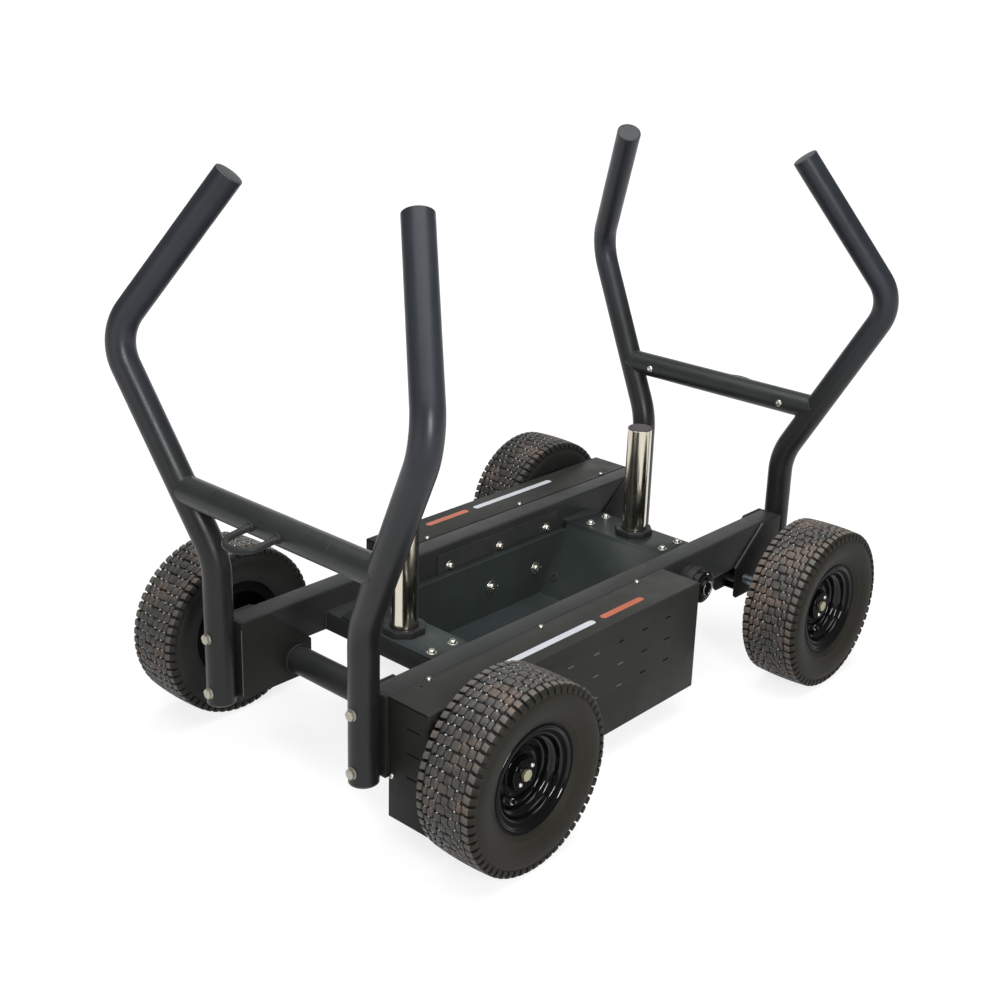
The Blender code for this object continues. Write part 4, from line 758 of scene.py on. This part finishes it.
def make_axle_tubes():
    half, ring, bore, inside = 0.1574, 0.1424, 0.0105, 0.0225
    profile = [(bore, -half), (TUBE_R, -half), (TUBE_R, half), (bore, half), (bore, ring),
        (inside, ring), (inside, -ring), (bore, -ring)]
    for name, end in ENDS:
        bm = turned(bmesh.new(), profile, 48, (end * AXLE_X, 0, AXLE_Z), LEFT, ring=True)
        for side in (-1, 1):
            centre = (end * AXLE_X, side * (half - 0.0008), AXLE_Z)
            bead(bm, circle(centre, TUBE_R + 0.0008, LEFT), 0.0028, loop=True)
        piece(f"axle_tube_{name}/tube", bm, "frame_coat", 40)


# Cross members, posts, tray

def make_members():
    wall, low, top, half = 0.003, 0.1957, 0.2347, RAIL_IN - 0.0003
    x0, x1 = -POST_X - 0.0425, -POST_X + 0.0425
    bm = bmesh.new()
    hollow(bm, rounded_rect(x0, x1, low, top, 0.0035),
        rounded_rect(x0 + wall, x1 - wall, low + wall, top - wall, 0.0015), -half, half, "Y")
    for side in (-1, 1):
        y = side * (RAIL_IN - 0.0012)
        bead(bm, [(x0 - 0.0012, y, 0.199), (x0 - 0.0012, y, 0.2335)], 0.0024)
    both("cross_member_*/tube", bm, "frame_coat", 30, REAR_FRONT)


def make_posts():
    low, top, collar_top, r, count = POST_LOW, POST_TOP, POST_LOW + 0.012, 0.025, 96
    tube = [(0.022, low), (r - 0.0003, low), (r, low + 0.0003), (r, top - 0.0006), (0.0244, top),
        (0.022, top)]
    cap = [(0.0175, top - 0.014), (0.0216, top), (0.0249, top + 0.0001), (0.0249, top + 0.0012),
        (0.024, top + 0.0023), (0.02, top + 0.003), (0, top + 0.0033)]

    # The collar is an octagon outside and round inside
    flats, eighth = 0.075, pi / 4
    outside = [flats / 2 / cos((a + eighth / 2) % eighth - eighth / 2) for a in around(count)]
    rows = [([edge - inset for edge in outside], z) for inset, z in ((0, low),
        (0, collar_top - 0.0016), (0.0005, collar_top - 0.0006), (0.0016, collar_top))]
    rows += [([inside] * count, z) for inside, z in ((0.0272, collar_top),
        (0.0258, collar_top - 0.001), (0.0254, collar_top - 0.003), (0.0254, low))]

    for name, end in ENDS:
        x = end * POST_X
        bm = turned(bmesh.new(), tube, 96, (x, 0, 0), ring=True)
        piece(f"weight_post_{name}/tube", bm, "post_chrome", 40)
        bm = turned(bmesh.new(), cap, 64, (x, 0, 0))
        piece(f"post_cap_{name}/plug", bm, "post_cap_plastic", 50)
        bm = bmesh.new()
        rings = [[bm.verts.new((x + edge * cos(a), edge * sin(a), z))
            for edge, a in zip(edges, around(count))] for edges, z in rows]
        skin(bm, rings + rings[:1], False)
        piece(f"post_collar_{name}/ring", bm, "black_plastic", 30)


def make_tray():
    floor, top, lip = 0.093, 0.238, 0.2213
    half, floor_x, top_x, edge_x = 0.14, 0.199, 0.283, 0.3765
    lip_x = floor_x + (top_x - floor_x) * (lip - floor) / (top - floor)
    lip_y, edge_y = 0.1594, 0.12
    bm = bmesh.new()
    spots = {}

    def face(*corners):
        for corner in corners:
            if corner not in spots:
                spots[corner] = bm.verts.new(corner)
        bm.faces.new([spots[corner] for corner in corners])

    def between(x0, y0, z0, x1, y1, z1):
        face((-x0, y0, z0), (x0, y0, z0), (x1, y1, z1), (-x1, y1, z1))

    between(floor_x, -half, floor, floor_x, half, floor)
    for s in (-1, 1):
        between(floor_x, s * half, floor, lip_x, s * half, lip)
        between(lip_x, s * half, lip, lip_x, s * lip_y, lip)
        face((s * floor_x, half, floor), (s * floor_x, -half, floor), (s * lip_x, -half, lip),
            (s * top_x, -half, top), (s * top_x, half, top), (s * lip_x, half, lip))
        face((s * top_x, half, top), (s * top_x, -half, top), (s * edge_x, -edge_y, top),
            (s * edge_x, edge_y, top))
    bmesh.ops.recalc_face_normals(bm, faces=bm.faces)
    rounded(bm, [edge for edge in bm.edges if len(edge.link_faces) == 2], 0.0035, 3)
    bm.faces.ensure_lookup_table()
    if min(bm.faces, key=lambda f: f.calc_center_median().z).normal.z < 0:
        bmesh.ops.reverse_faces(bm, faces=bm.faces)
    name = "weight_tray/sheet"
    tray = piece_of(name, smoothed(plain_mesh(name, bm), 40), "tray_coat")
    sheet = tray.modifiers.new("sheet", "SOLIDIFY")
    sheet.thickness = 0.003
    sheet.offset = -1.0
    sheet.use_even_offset = True

    bolts = bmesh.new()
    for end in (-1, 1):
        for x in (0.308, 0.36):
            for y in (-0.0965, 0.0965):
                washer(bolts, 0.0185, 0.0014, (end * x, y, top - 0.0002), UP)
                button_screw(bolts, 0.0138, (end * x, y, top + 0.001), UP)
    piece("tray_flange_bolts", bolts, "zinc_steel", 40)
    bolts = bmesh.new()
    for side in (-1, 1):
        inward = (0, -side, 0)
        for x in WALL_BOLTS_X:
            washer(bolts, 0.027, 0.0015, (side * x, side * (half - 0.0001), WALL_BOLTS_Z), inward)
            button_screw(bolts, 0.015, (side * x, side * (half - 0.0016), WALL_BOLTS_Z), inward)
            turned(bolts, mm(1.8, 0, 1.8, 0.6, 1, 1.4, 0, 1.6), 12,
                (side * (x + 0.02), side * (half - 0.0001), 0.1535), inward)
    piece("tray_wall_bolts", bolts, "zinc_steel", 40)
    plug = bmesh.new()
    washer(plug, 0.0175, 0.0012, (0.221, 0.119, 0.1315), (-0.865, 0, 0.501), 0.0095)
    both("tray_plug_*", plug, "cap_plastic", places=("front", "rear"))


def make_strips():
    section = mm(-143.3, 215, -162.7, 215, -162.7, 259, -159.7, 259, -159.7, 218, -143.3, 218)
    bm = bmesh.new()
    prism(bm, section, -0.268, 0.09, "X", 0.0006)
    both("tray_strip_*/angle", bm, "frame_coat", 40)
    bolts = bmesh.new()
    for side in (-1, 1):
        for x in (-0.057, 0.089, 0.235):
            washer(bolts, 0.0225, 0.0012, (side * x, side * 0.1598, 0.229), (0, -side, 0))
            button_screw(bolts, 0.015, (side * x, side * 0.1588, 0.229), (0, -side, 0))
    piece("tray_strip_bolts", bolts, "zinc_steel", 40)


# Drive boxes, stripes, dials

WALL_BOLTS_X, WALL_BOLTS_Z = (0.044, 0.181), 0.158
COVER_SCREWS = (-0.4819, -0.2066, 0.0687)
VENTS_X = tuple(0.0603 - 0.0706 * k for k in range(5))
VENTS_Z = (0.234, 0.19, 0.146)
SHEET, FIT = 0.0025, 0.0003


def make_pans():
    """Open boxes with slots in both ends and holes for the two shafts."""
    pan_top, cover_in = RAIL_TOP - SHEET - FIT, BOX_OUT - SHEET - FIT
    pan, cutter = bmesh.new(), bmesh.new()
    box(pan, (BOX_REAR, BOX_FRONT), (-cover_in, -BOX_IN), (BOX_LOW, pan_top), 0.0012, 3)
    box(cutter, (BOX_REAR + SHEET, BOX_FRONT - SHEET), (-BOX_OUT - 0.01, -BOX_IN - SHEET),
        (BOX_LOW + SHEET, pan_top - SHEET))
    box(cutter, (BOX_REAR + SHEET * 1.01, BOX_FRONT - SHEET * 1.01),
        (-BOX_OUT - 0.011, -BOX_IN - 0.014), (pan_top - SHEET - 0.004, pan_top + 0.004))
    for x in (BOX_REAR, BOX_FRONT):
        box(cutter, (x - 0.005, x + 0.006), (-BOX_OUT - 0.012, -BOX_IN - 0.013),
            (pan_top - 0.0018, pan_top + 0.005))
        for z in VENTS_Z:
            outline = [(-0.2643 + a, z + b) for a, b in slot_outline(0.03, 0.0026)]
            prism(cutter, outline, x - 0.004, x + 0.004, "X")
    for x, r in ((-AXLE_X, 0.0108), (-0.095, 0.0066)):
        turned(cutter, [(r, 0), (r, 0.02)], 32, (x, -BOX_IN + 0.005, AXLE_Z), RIGHT)
    both("drive_box_*/pan", carved(pan, cutter, "drive_box_pan"), "bracket_coat")


def make_covers():
    """Folded covers with three rows of vents, pale blades as a painted highlight on the lips of
    the vents that show one, and screws.
    """
    fold, inner_fold = 0.004, 0.0015
    centre = (-BOX_OUT + fold, RAIL_TOP - fold)
    outline = ([(-BOX_OUT, BOX_LOW)] + arc(centre, fold, 180, -90, 8)
        + [(-BOX_IN, RAIL_TOP), (-BOX_IN, RAIL_TOP - SHEET)] + arc(centre, inner_fold, 90, 90, 5)
        + [(-BOX_OUT + SHEET, BOX_LOW)])
    cover, cutter = bmesh.new(), bmesh.new()
    prism(cover, outline, BOX_REAR, BOX_FRONT, "X", 0.0005,
        only=lambda e: abs(e.verts[0].co.x - e.verts[1].co.x) < 0.001)
    for x in VENTS_X:
        for z in VENTS_Z:
            prism(cutter, [(x + a, z + b) for a, b in slot_outline(0.0175, 0.0034)],
                -BOX_OUT - 0.004, -BOX_OUT + 0.004, "Y")
    turned(cutter, [(0.0146, 0), (0.0146, 0.02)], 32, (-AXLE_X, -BOX_OUT + 0.01, AXLE_Z), RIGHT)
    turned(cutter, [(0.0024, 0), (0.0024, 0.01)], 20, (-0.506, -0.2213, RAIL_TOP - 0.006))
    both("drive_cover_*/sheet", carved(cover, cutter, "drive_cover_sheet"), "cover_coat")

    blades = bmesh.new()
    for column, x in enumerate(VENTS_X):
        for row, z in enumerate(VENTS_Z):
            if column + min(row, 1) > 2:
                section = [(-BOX_OUT + a, z + b) for a, b in ((-0.0012, -0.0012),
                    (0.0024, -0.0016), (0.0024, 0.0012), (-0.0006, 0.0004))]
                prism(blades, section, x - 0.0078, x + 0.0078, "X")
    both("drive_cover_*_louvres", blades, "louvre_painted_highlight")
    screws = bmesh.new()
    for side in (-1, 1):
        for x in COVER_SCREWS:
            button_screw(screws, 0.0096, (-side * x, side * 0.2133, RAIL_TOP - 0.0001), UP)
        at = (side * -BOX_REAR * 1.0003, side * 0.2172, 0.1347)
        button_screw(screws, 0.01, at, (side, 0, 0))
    piece("cover_screws", screws, "zinc_steel", 40)


def make_spacers():
    """Tubes from the tray wall to the box, round the two bolts of each wall."""
    profile = mm(4.3, 143.4, 7.6, 143.4, 8, 144, 8, 208, 4.3, 208)
    spacers = bmesh.new()
    for side in (-1, 1):
        for x in WALL_BOLTS_X:
            turned(spacers, profile, 24, (side * x, 0, WALL_BOLTS_Z), (0, side, 0), ring=True)
    piece("tray_spacer_tubes", spacers, "bare_steel", 40)


def make_stripes():
    """Plain vinyl stripes on the lids."""
    y, width, half_thick = -0.264, 0.014, 0.0002
    for finish, x0, x1 in (("stripe_pale", -0.365, -0.12), ("stripe_orange", -0.1, 0.02)):
        bm = bmesh.new()
        outline = [((x0 + x1) / 2 + a, y + b) for a, b in slot_outline(x1 - x0, width, 8)]
        prism(bm, outline, RAIL_TOP - half_thick, RAIL_TOP + half_thick, "Z")
        both(f"{finish}_*", bm, finish)


def make_dials():
    x, z, near, deep = 0.2415, 0.2228, BOX_IN, 0.031
    mid, face = near + deep / 2, near + deep + 0.0003
    selectors = ("selector_right", "selector_left")
    housing = [(0.0358, near), (0.0365, near + 0.0007), (0.0365, near + 0.012),
        (0.035, near + 0.0126), (0.035, near + 0.0142), (0.0362, near + 0.0148),
        (0.0362, near + deep - 0.004), (0.0352, near + deep - 0.0012),
        (0.0345, near + deep - 0.0001)]
    bm = turned(bmesh.new(), housing, 64, (x, 0, z), RIGHT)
    hole = (BOX_FRONT + FIT, -mid, z)
    sweep(bm, divided([hole, (x - 0.03, -mid, z)], 0.004), 0.005, 20)
    turned(bm, mm(7.5, 0, 7.5, 6, 6.6, 8.5), 6, hole, (1, 0, 0))
    both("dial_housing_*/cup", bm, "black_plastic", 40)
    knob = mm(33, 0, 33, 10, 32.2, 12, 30.6, 13, 18, 13, 16.6, 13.6, 16, 15, 16, 19.6, 15.2, 20.8,
        12, 21, 11.2, 19.8, 0, 19.8)
    bm = turned(bmesh.new(), knob, 96, (x, -face, z), RIGHT)
    both("dial_*/knob", bm, "dial_gloss", bodies=selectors)
    # The two pale arcs are a painted highlight on the glossy boss; the seven dots are marks
    bm = bmesh.new()
    for radius, out, thick, first, last in ((0.0134, 0.0207, 0.0015, -80, 86),
            (0.0136, 0.0209, 0.0008, 130, 250)):
        sweep(bm, [(x + radius * cos(radians(a)), -face - out, z + radius * sin(radians(a)))
            for a in range(first, last, 6)], thick, 8)
    for k in range(7):
        a = radians(20 + 20 * k)
        spot = (x + 0.0222 * cos(a), -face - 0.013, z + 0.0222 * sin(a))
        turned(bm, mm(0.7, -0.2, 0.7, 0.1, 0, 0.2), 8, spot, RIGHT)
    both("dial_*_mark", bm, "dial_mark", 40, bodies=selectors)
    bm = bmesh.new()
    domed(bm, 0.005, 0.0022, (x + 0.007, -face - 0.0128, z + 0.0262), RIGHT)
    both("dial_*_screw", bm, "zinc_steel", 40, bodies=selectors)


# Wheels and axles

# Across the tread, from the middle outward: the blocks of an even row and of an odd row
BLOCKS = (((-0.0088, 0.0088), (0.0108, 0.0241), (0.0261, 0.0387), (0.0412, 0.0545)),
          ((0.001, 0.0144), (0.0164, 0.0298), (0.0318, 0.0402), (0.0428, 0.0545)))
PINS = ((-0.034, -0.021, 0.008, 0.021, 0.034), (-0.028, -0.012, 0.015, 0.028))
WAVE, WAVE_LENGTH = 0.0011, 0.0256
TREAD_MID = 0.163


def tread_radius(y):
    return TYRE_R - 0.0025 * min(1.2, (y / 0.055) ** 2)


def wave(y):
    """How far the rows of blocks swing along the tread, and the slope of that swing."""
    a = 2 * pi * abs(y) / WAVE_LENGTH
    slope = copysign(WAVE * 2 * pi / WAVE_LENGTH * cos(a), y) if y else 0
    return WAVE * sin(a), slope


def lug(bm, angle, y, hl, hw, c, base, overhang=0):
    """One tread block: an octagon of half sizes hl and hw with corners c, its foot sunk in."""
    swing, slope = wave(y)
    outline = [(hl, hw - c), (hl - c, hw), (-hl + c, hw), (-hl, hw - c), (-hl, -hw + c),
        (-hl + c, -hw), (hl - c, -hw), (hl, -hw + c)]
    rows = []
    for drop, share in ((base, 1.1), (0.0009, 1), (0.0003, 0.96), (0, 0.88)):
        rows.append([])
        for s, t in outline:
            s, t = s * share, t * share
            if overhang and t * overhang > 0:
                t += overhang * drop * 0.35
            a = angle + (swing + s + slope * t) / TREAD_MID
            r = tread_radius(y + t) - drop
            rows[-1].append(bm.verts.new((r * cos(a), y + t, r * sin(a))))
    skin(bm, rows)


def rib(bm, angle, side):
    """The part of a shoulder block that runs down the side wall."""
    outline = mm(147.8, 58.4, 151.5, 59.2, 155.3, 58.4, 159, 56.8, 160.8, 54.5, 159, 49, 153, 52.5,
        147.6, 57)
    rows = []
    for swing, inset in ((-0.0058, 0), (-0.0052, 0.0006), (0.0052, 0.0006), (0.0058, 0)):
        a = angle + (swing + wave(0.0479)[0]) / TREAD_MID
        rows.append([bm.verts.new((r * cos(a), side * (y + (inset if i < 5 else 0)), r * sin(a)))
            for i, (r, y) in enumerate(outline)])
    skin(bm, rows)


def tyre_mesh():
    bm = bmesh.new()
    side = mm(90, 39.5, 92.5, 44.1, 94.5, 46.3, 98.5, 49.2, 102, 51.3, 102.8, 52.2, 104.4, 52.8,
        105.6, 52.7, 112, 56.2, 120, 59.2, 128, 60.7, 136, 61.2, 142, 60.6, 146, 59.2, 151, 56,
        155.5, 51.5)
    tread = [(tread_radius(y) - 0.004 - 0.0016 * (y / 0.049) ** 4, y)
        for y in (0.049 - 0.098 * k / 20 for k in range(21))]
    inner = mm(90, -38.5, 89.5, -30, 151, -48, 151, 48, 89.5, 30)
    turned(bm, side + tread + [(r, -y) for r, y in reversed(side)] + inner, 144, along=LEFT,
        ring=True)
    for k, angle in enumerate(around(LUGS)):
        for low, high in BLOCKS[k % 2]:
            y, half = (low + high) / 2, (high - low) / 2
            for side in ((1,) if low < 0 else (1, -1)):
                if high > 0.05:
                    lug(bm, angle, side * y, 0.0058, half, 0.0012, 0.0072, side)
                    rib(bm, angle, side)
                else:
                    lug(bm, angle, side * y, 0.00735, half, 0.0022, 0.0062)
    return mesh_from("tyre_mesh", bm, 34)


def pins_mesh():
    """Small pale studs in the grooves between the rows of blocks; their pale colour is a painted
    glint.
    """
    bm = bmesh.new()
    for k in range(LUGS):
        for y in PINS[k % 2]:
            angle = (k + 0.5) * 2 * pi / LUGS + wave(y)[0] / TREAD_MID
            out = Vector((cos(angle), 0, sin(angle)))
            at = out * (tread_radius(y) - 0.001) + Vector((0, y, 0))
            turned(bm, mm(1.5, -4, 1.4, 0, 0.9, 0.7, 0, 0.9), 6, at, out)
    return mesh_from("pins_mesh", bm, 50)


def eased(points, reach=0.0012):
    """The profile with each corner cut twice, by at most reach and then half of it."""
    for most in (reach, reach / 2):
        out = [points[0]]
        for before, here, after in zip(points, points[1:], points[2:]):
            for other in (before, after):
                share = min(0.25, most / dist(here, other))
                out.append(tuple(h + (o - h) * share for h, o in zip(here, other)))
        points = out + [points[-1]]
    return points


def rim_mesh():
    """Pressed steel rim: radius and outward distance from the wheel's middle."""
    outer = mm(10.2, 26.8, 26.4, 26.8, 27.8, 26.4, 28.6, 25.4, 29.2, 15, 30, 12.8, 32, 12,
        36, 12.4, 37.8, 14, 40, 15.2, 43, 14.8, 45.5, 12.6, 47, 12, 54.5, 12, 57.5, 13.5, 59, 16.5,
        60, 21, 62.2, 24.5, 65.5, 26.2, 68.5, 28.5, 70, 32.5, 71.2, 37.5, 73.5, 40.5, 77.5, 41.8,
        82, 42.4, 85, 44, 86.8, 46.2, 89.5, 47.3, 92.5, 47, 94.2, 45.5, 94.7, 43.6, 93.6, 42.5)
    back = mm(91.5, 44, 89, 44, 86.8, 41.8, 83, 39.5, 79, 38.8, 75, 38, 73.5, 31, 71.2, 25.5,
        64, 22.5, 63.5, -18.9, 78, -44.3, 86, -44.3, 93, -44.3, 94.7, -45, 93, -47.3, 75, -47.3,
        60.5, -18.9, 60.5, 9, 56, 9, 18, 9, 18, -35, 10.2, -35)
    bm = turned(bmesh.new(), eased(outer) + back, 128, along=RIGHT, ring=True)
    return mesh_from("rim_mesh", bm, 35)


def hub_screws_mesh(first):
    bm = bmesh.new()
    for k in range(2):
        x, z = polar(0.0186, radians(first + 180 * k))
        domed(bm, 0.0088, 0.0044, (x, -0.0266, z), RIGHT)
    return mesh_from("hub_screws_mesh", bm, 40)


def valve_part(name, profile, sides, smooth):
    """One turned piece of the valve, which leans out of the rim's step."""
    bm = bmesh.new()
    x, z = polar(0.0505, radians(77))
    lean_x, lean_z = polar(-0.25, radians(77))
    turned(bm, profile, sides, (x, -0.0118, z), (lean_x, -1, lean_z))
    return mesh_from(name, bm, smooth)


def make_wheels():
    stem = mm(7.2, 0, 7.2, 2, 5, 4, 4.6, 13, 3.6, 18)
    collar = mm(4, 12, 5.4, 12.4, 5.4, 15.2, 4, 15.6)
    cap = mm(3.6, 15, 3.8, 15.8, 3.8, 20.5, 3, 21.8, 0, 22)

    parts = (
        ("tyre_*/piece", tyre_mesh(), "tyre_rubber"),
        ("rim_*/piece", rim_mesh(), "rim_gloss"),
        ("hub_screws_*_piece", hub_screws_mesh(67.5), "zinc_steel"),
        # The other two hub screws take the rim's black, as painted shade
        ("hub_plugs_*_piece", hub_screws_mesh(157.5), "rim_gloss"),
        ("tread_pins_*_piece", pins_mesh(), "tread_pin"),
        ("valve_*_piece", valve_part("valve_mesh", stem, 24, 40), "black_plastic"),
        ("valve_collar_*_piece", valve_part("valve_collar_mesh", collar, 12, 25), "zinc_steel"),
        ("valve_cap_*_piece", valve_part("valve_cap_mesh", cap, 12, 25), "dial_gloss"))
    # Tyres, rims and pins turn by quarters, which keeps their boxes square; the rest turn freely
    for (where, end, side), quarter, free in zip(CORNERS, (180, 0, 270, 90), (20, 205, 140, 184)):
        at = Matrix.Translation((end * AXLE_X, side * WHEEL_Y, AXLE_Z))
        face = Matrix.Rotation(pi if side > 0 else 0, 4, "Z")
        for name, mesh, finish in parts:
            angle = quarter if name.startswith(("tyre", "rim", "tread")) else free
            spin = Matrix.Rotation(radians(angle), 4, "Y")
            piece_of(name.replace("*", where), mesh, finish, f"wheel_{where}",
                place=at @ face @ spin)


def make_axles():
    """Live axles in the braked wheels, fixed ones in the others, and the nuts on all four."""
    hub_in, hub_out, r = WHEEL_Y - 0.0353, WHEEL_Y + 0.0197, 0.01
    start = [(0, 0.1217), (r - 0.0006, 0.1217), (r, 0.1223)]
    shank = [(r, hub_in), (r, hub_out), (0.005, hub_out), (0.005, hub_out + 0.004),
        (0, hub_out + 0.004)]
    flange = [(r, hub_in - 0.006), (0.0254, hub_in - 0.006), (0.026, hub_in - 0.0054),
        (0.026, hub_in)]
    sleeve = [(r, hub_in - 0.03), (0.0154, hub_in - 0.03), (0.016, hub_in - 0.0294),
        (0.016, hub_in - 0.0005), (0.0155, hub_in)]
    braked, fixed = ("wheel_rear_right", "wheel_front_left"), ("frame", "frame")
    for name, x, places, shoulder, bodies in (("drive_axle_*/shaft", -AXLE_X, RIGHT_LEFT, flange,
            braked), ("free_axle_*/shaft", AXLE_X, ("front_right", "rear_left"), sleeve, fixed)):
        bm = turned(bmesh.new(), start + shoulder + shank, 40, (x, 0, AXLE_Z), RIGHT)
        both(name, bm, "shaft_steel", 35, places, bodies)
    collar = [(0.0096, hub_out + 0.0004), (0.0096, hub_out + 0.0072), (0, hub_out + 0.0072)]
    for x, places, bodies in ((-AXLE_X, ("rear_right", "front_left"), braked),
            (AXLE_X, ("front_right", "rear_left"), fixed)):
        bm = turned(bmesh.new(), collar, 32, (x, 0, AXLE_Z), RIGHT)
        hex_head(bm, 0.019, 0.0052, (x, -hub_out - 0.0072, AXLE_Z), RIGHT, 0.25)
        both("hub_nut_*", bm, "nut_beige", 40, places, bodies)


def dress_inner_nodes():
    """CAD solids that stay get their real finishes."""
    for side in RIGHT_LEFT:
        for node in ("axle_bearing", "brake_bearing", "drive_pulley", "brake_rotor",
                "magnet_carrier", "drive_belt"):
            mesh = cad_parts[f"{node}_{side}"].data
            mesh.materials.clear()
            mesh.materials.append(FINISHES["belt_rubber" if node == "drive_belt"
                else "bare_steel"])


make_camera()
make_stage()
make_handles()
make_crossbars()
make_rails()
make_brackets()
make_axle_tubes()
make_members()
make_posts()
make_tray()
make_strips()
make_pans()
make_covers()
make_spacers()
make_stripes()
make_dials()
make_wheels()
make_axles()
dress_inner_nodes()
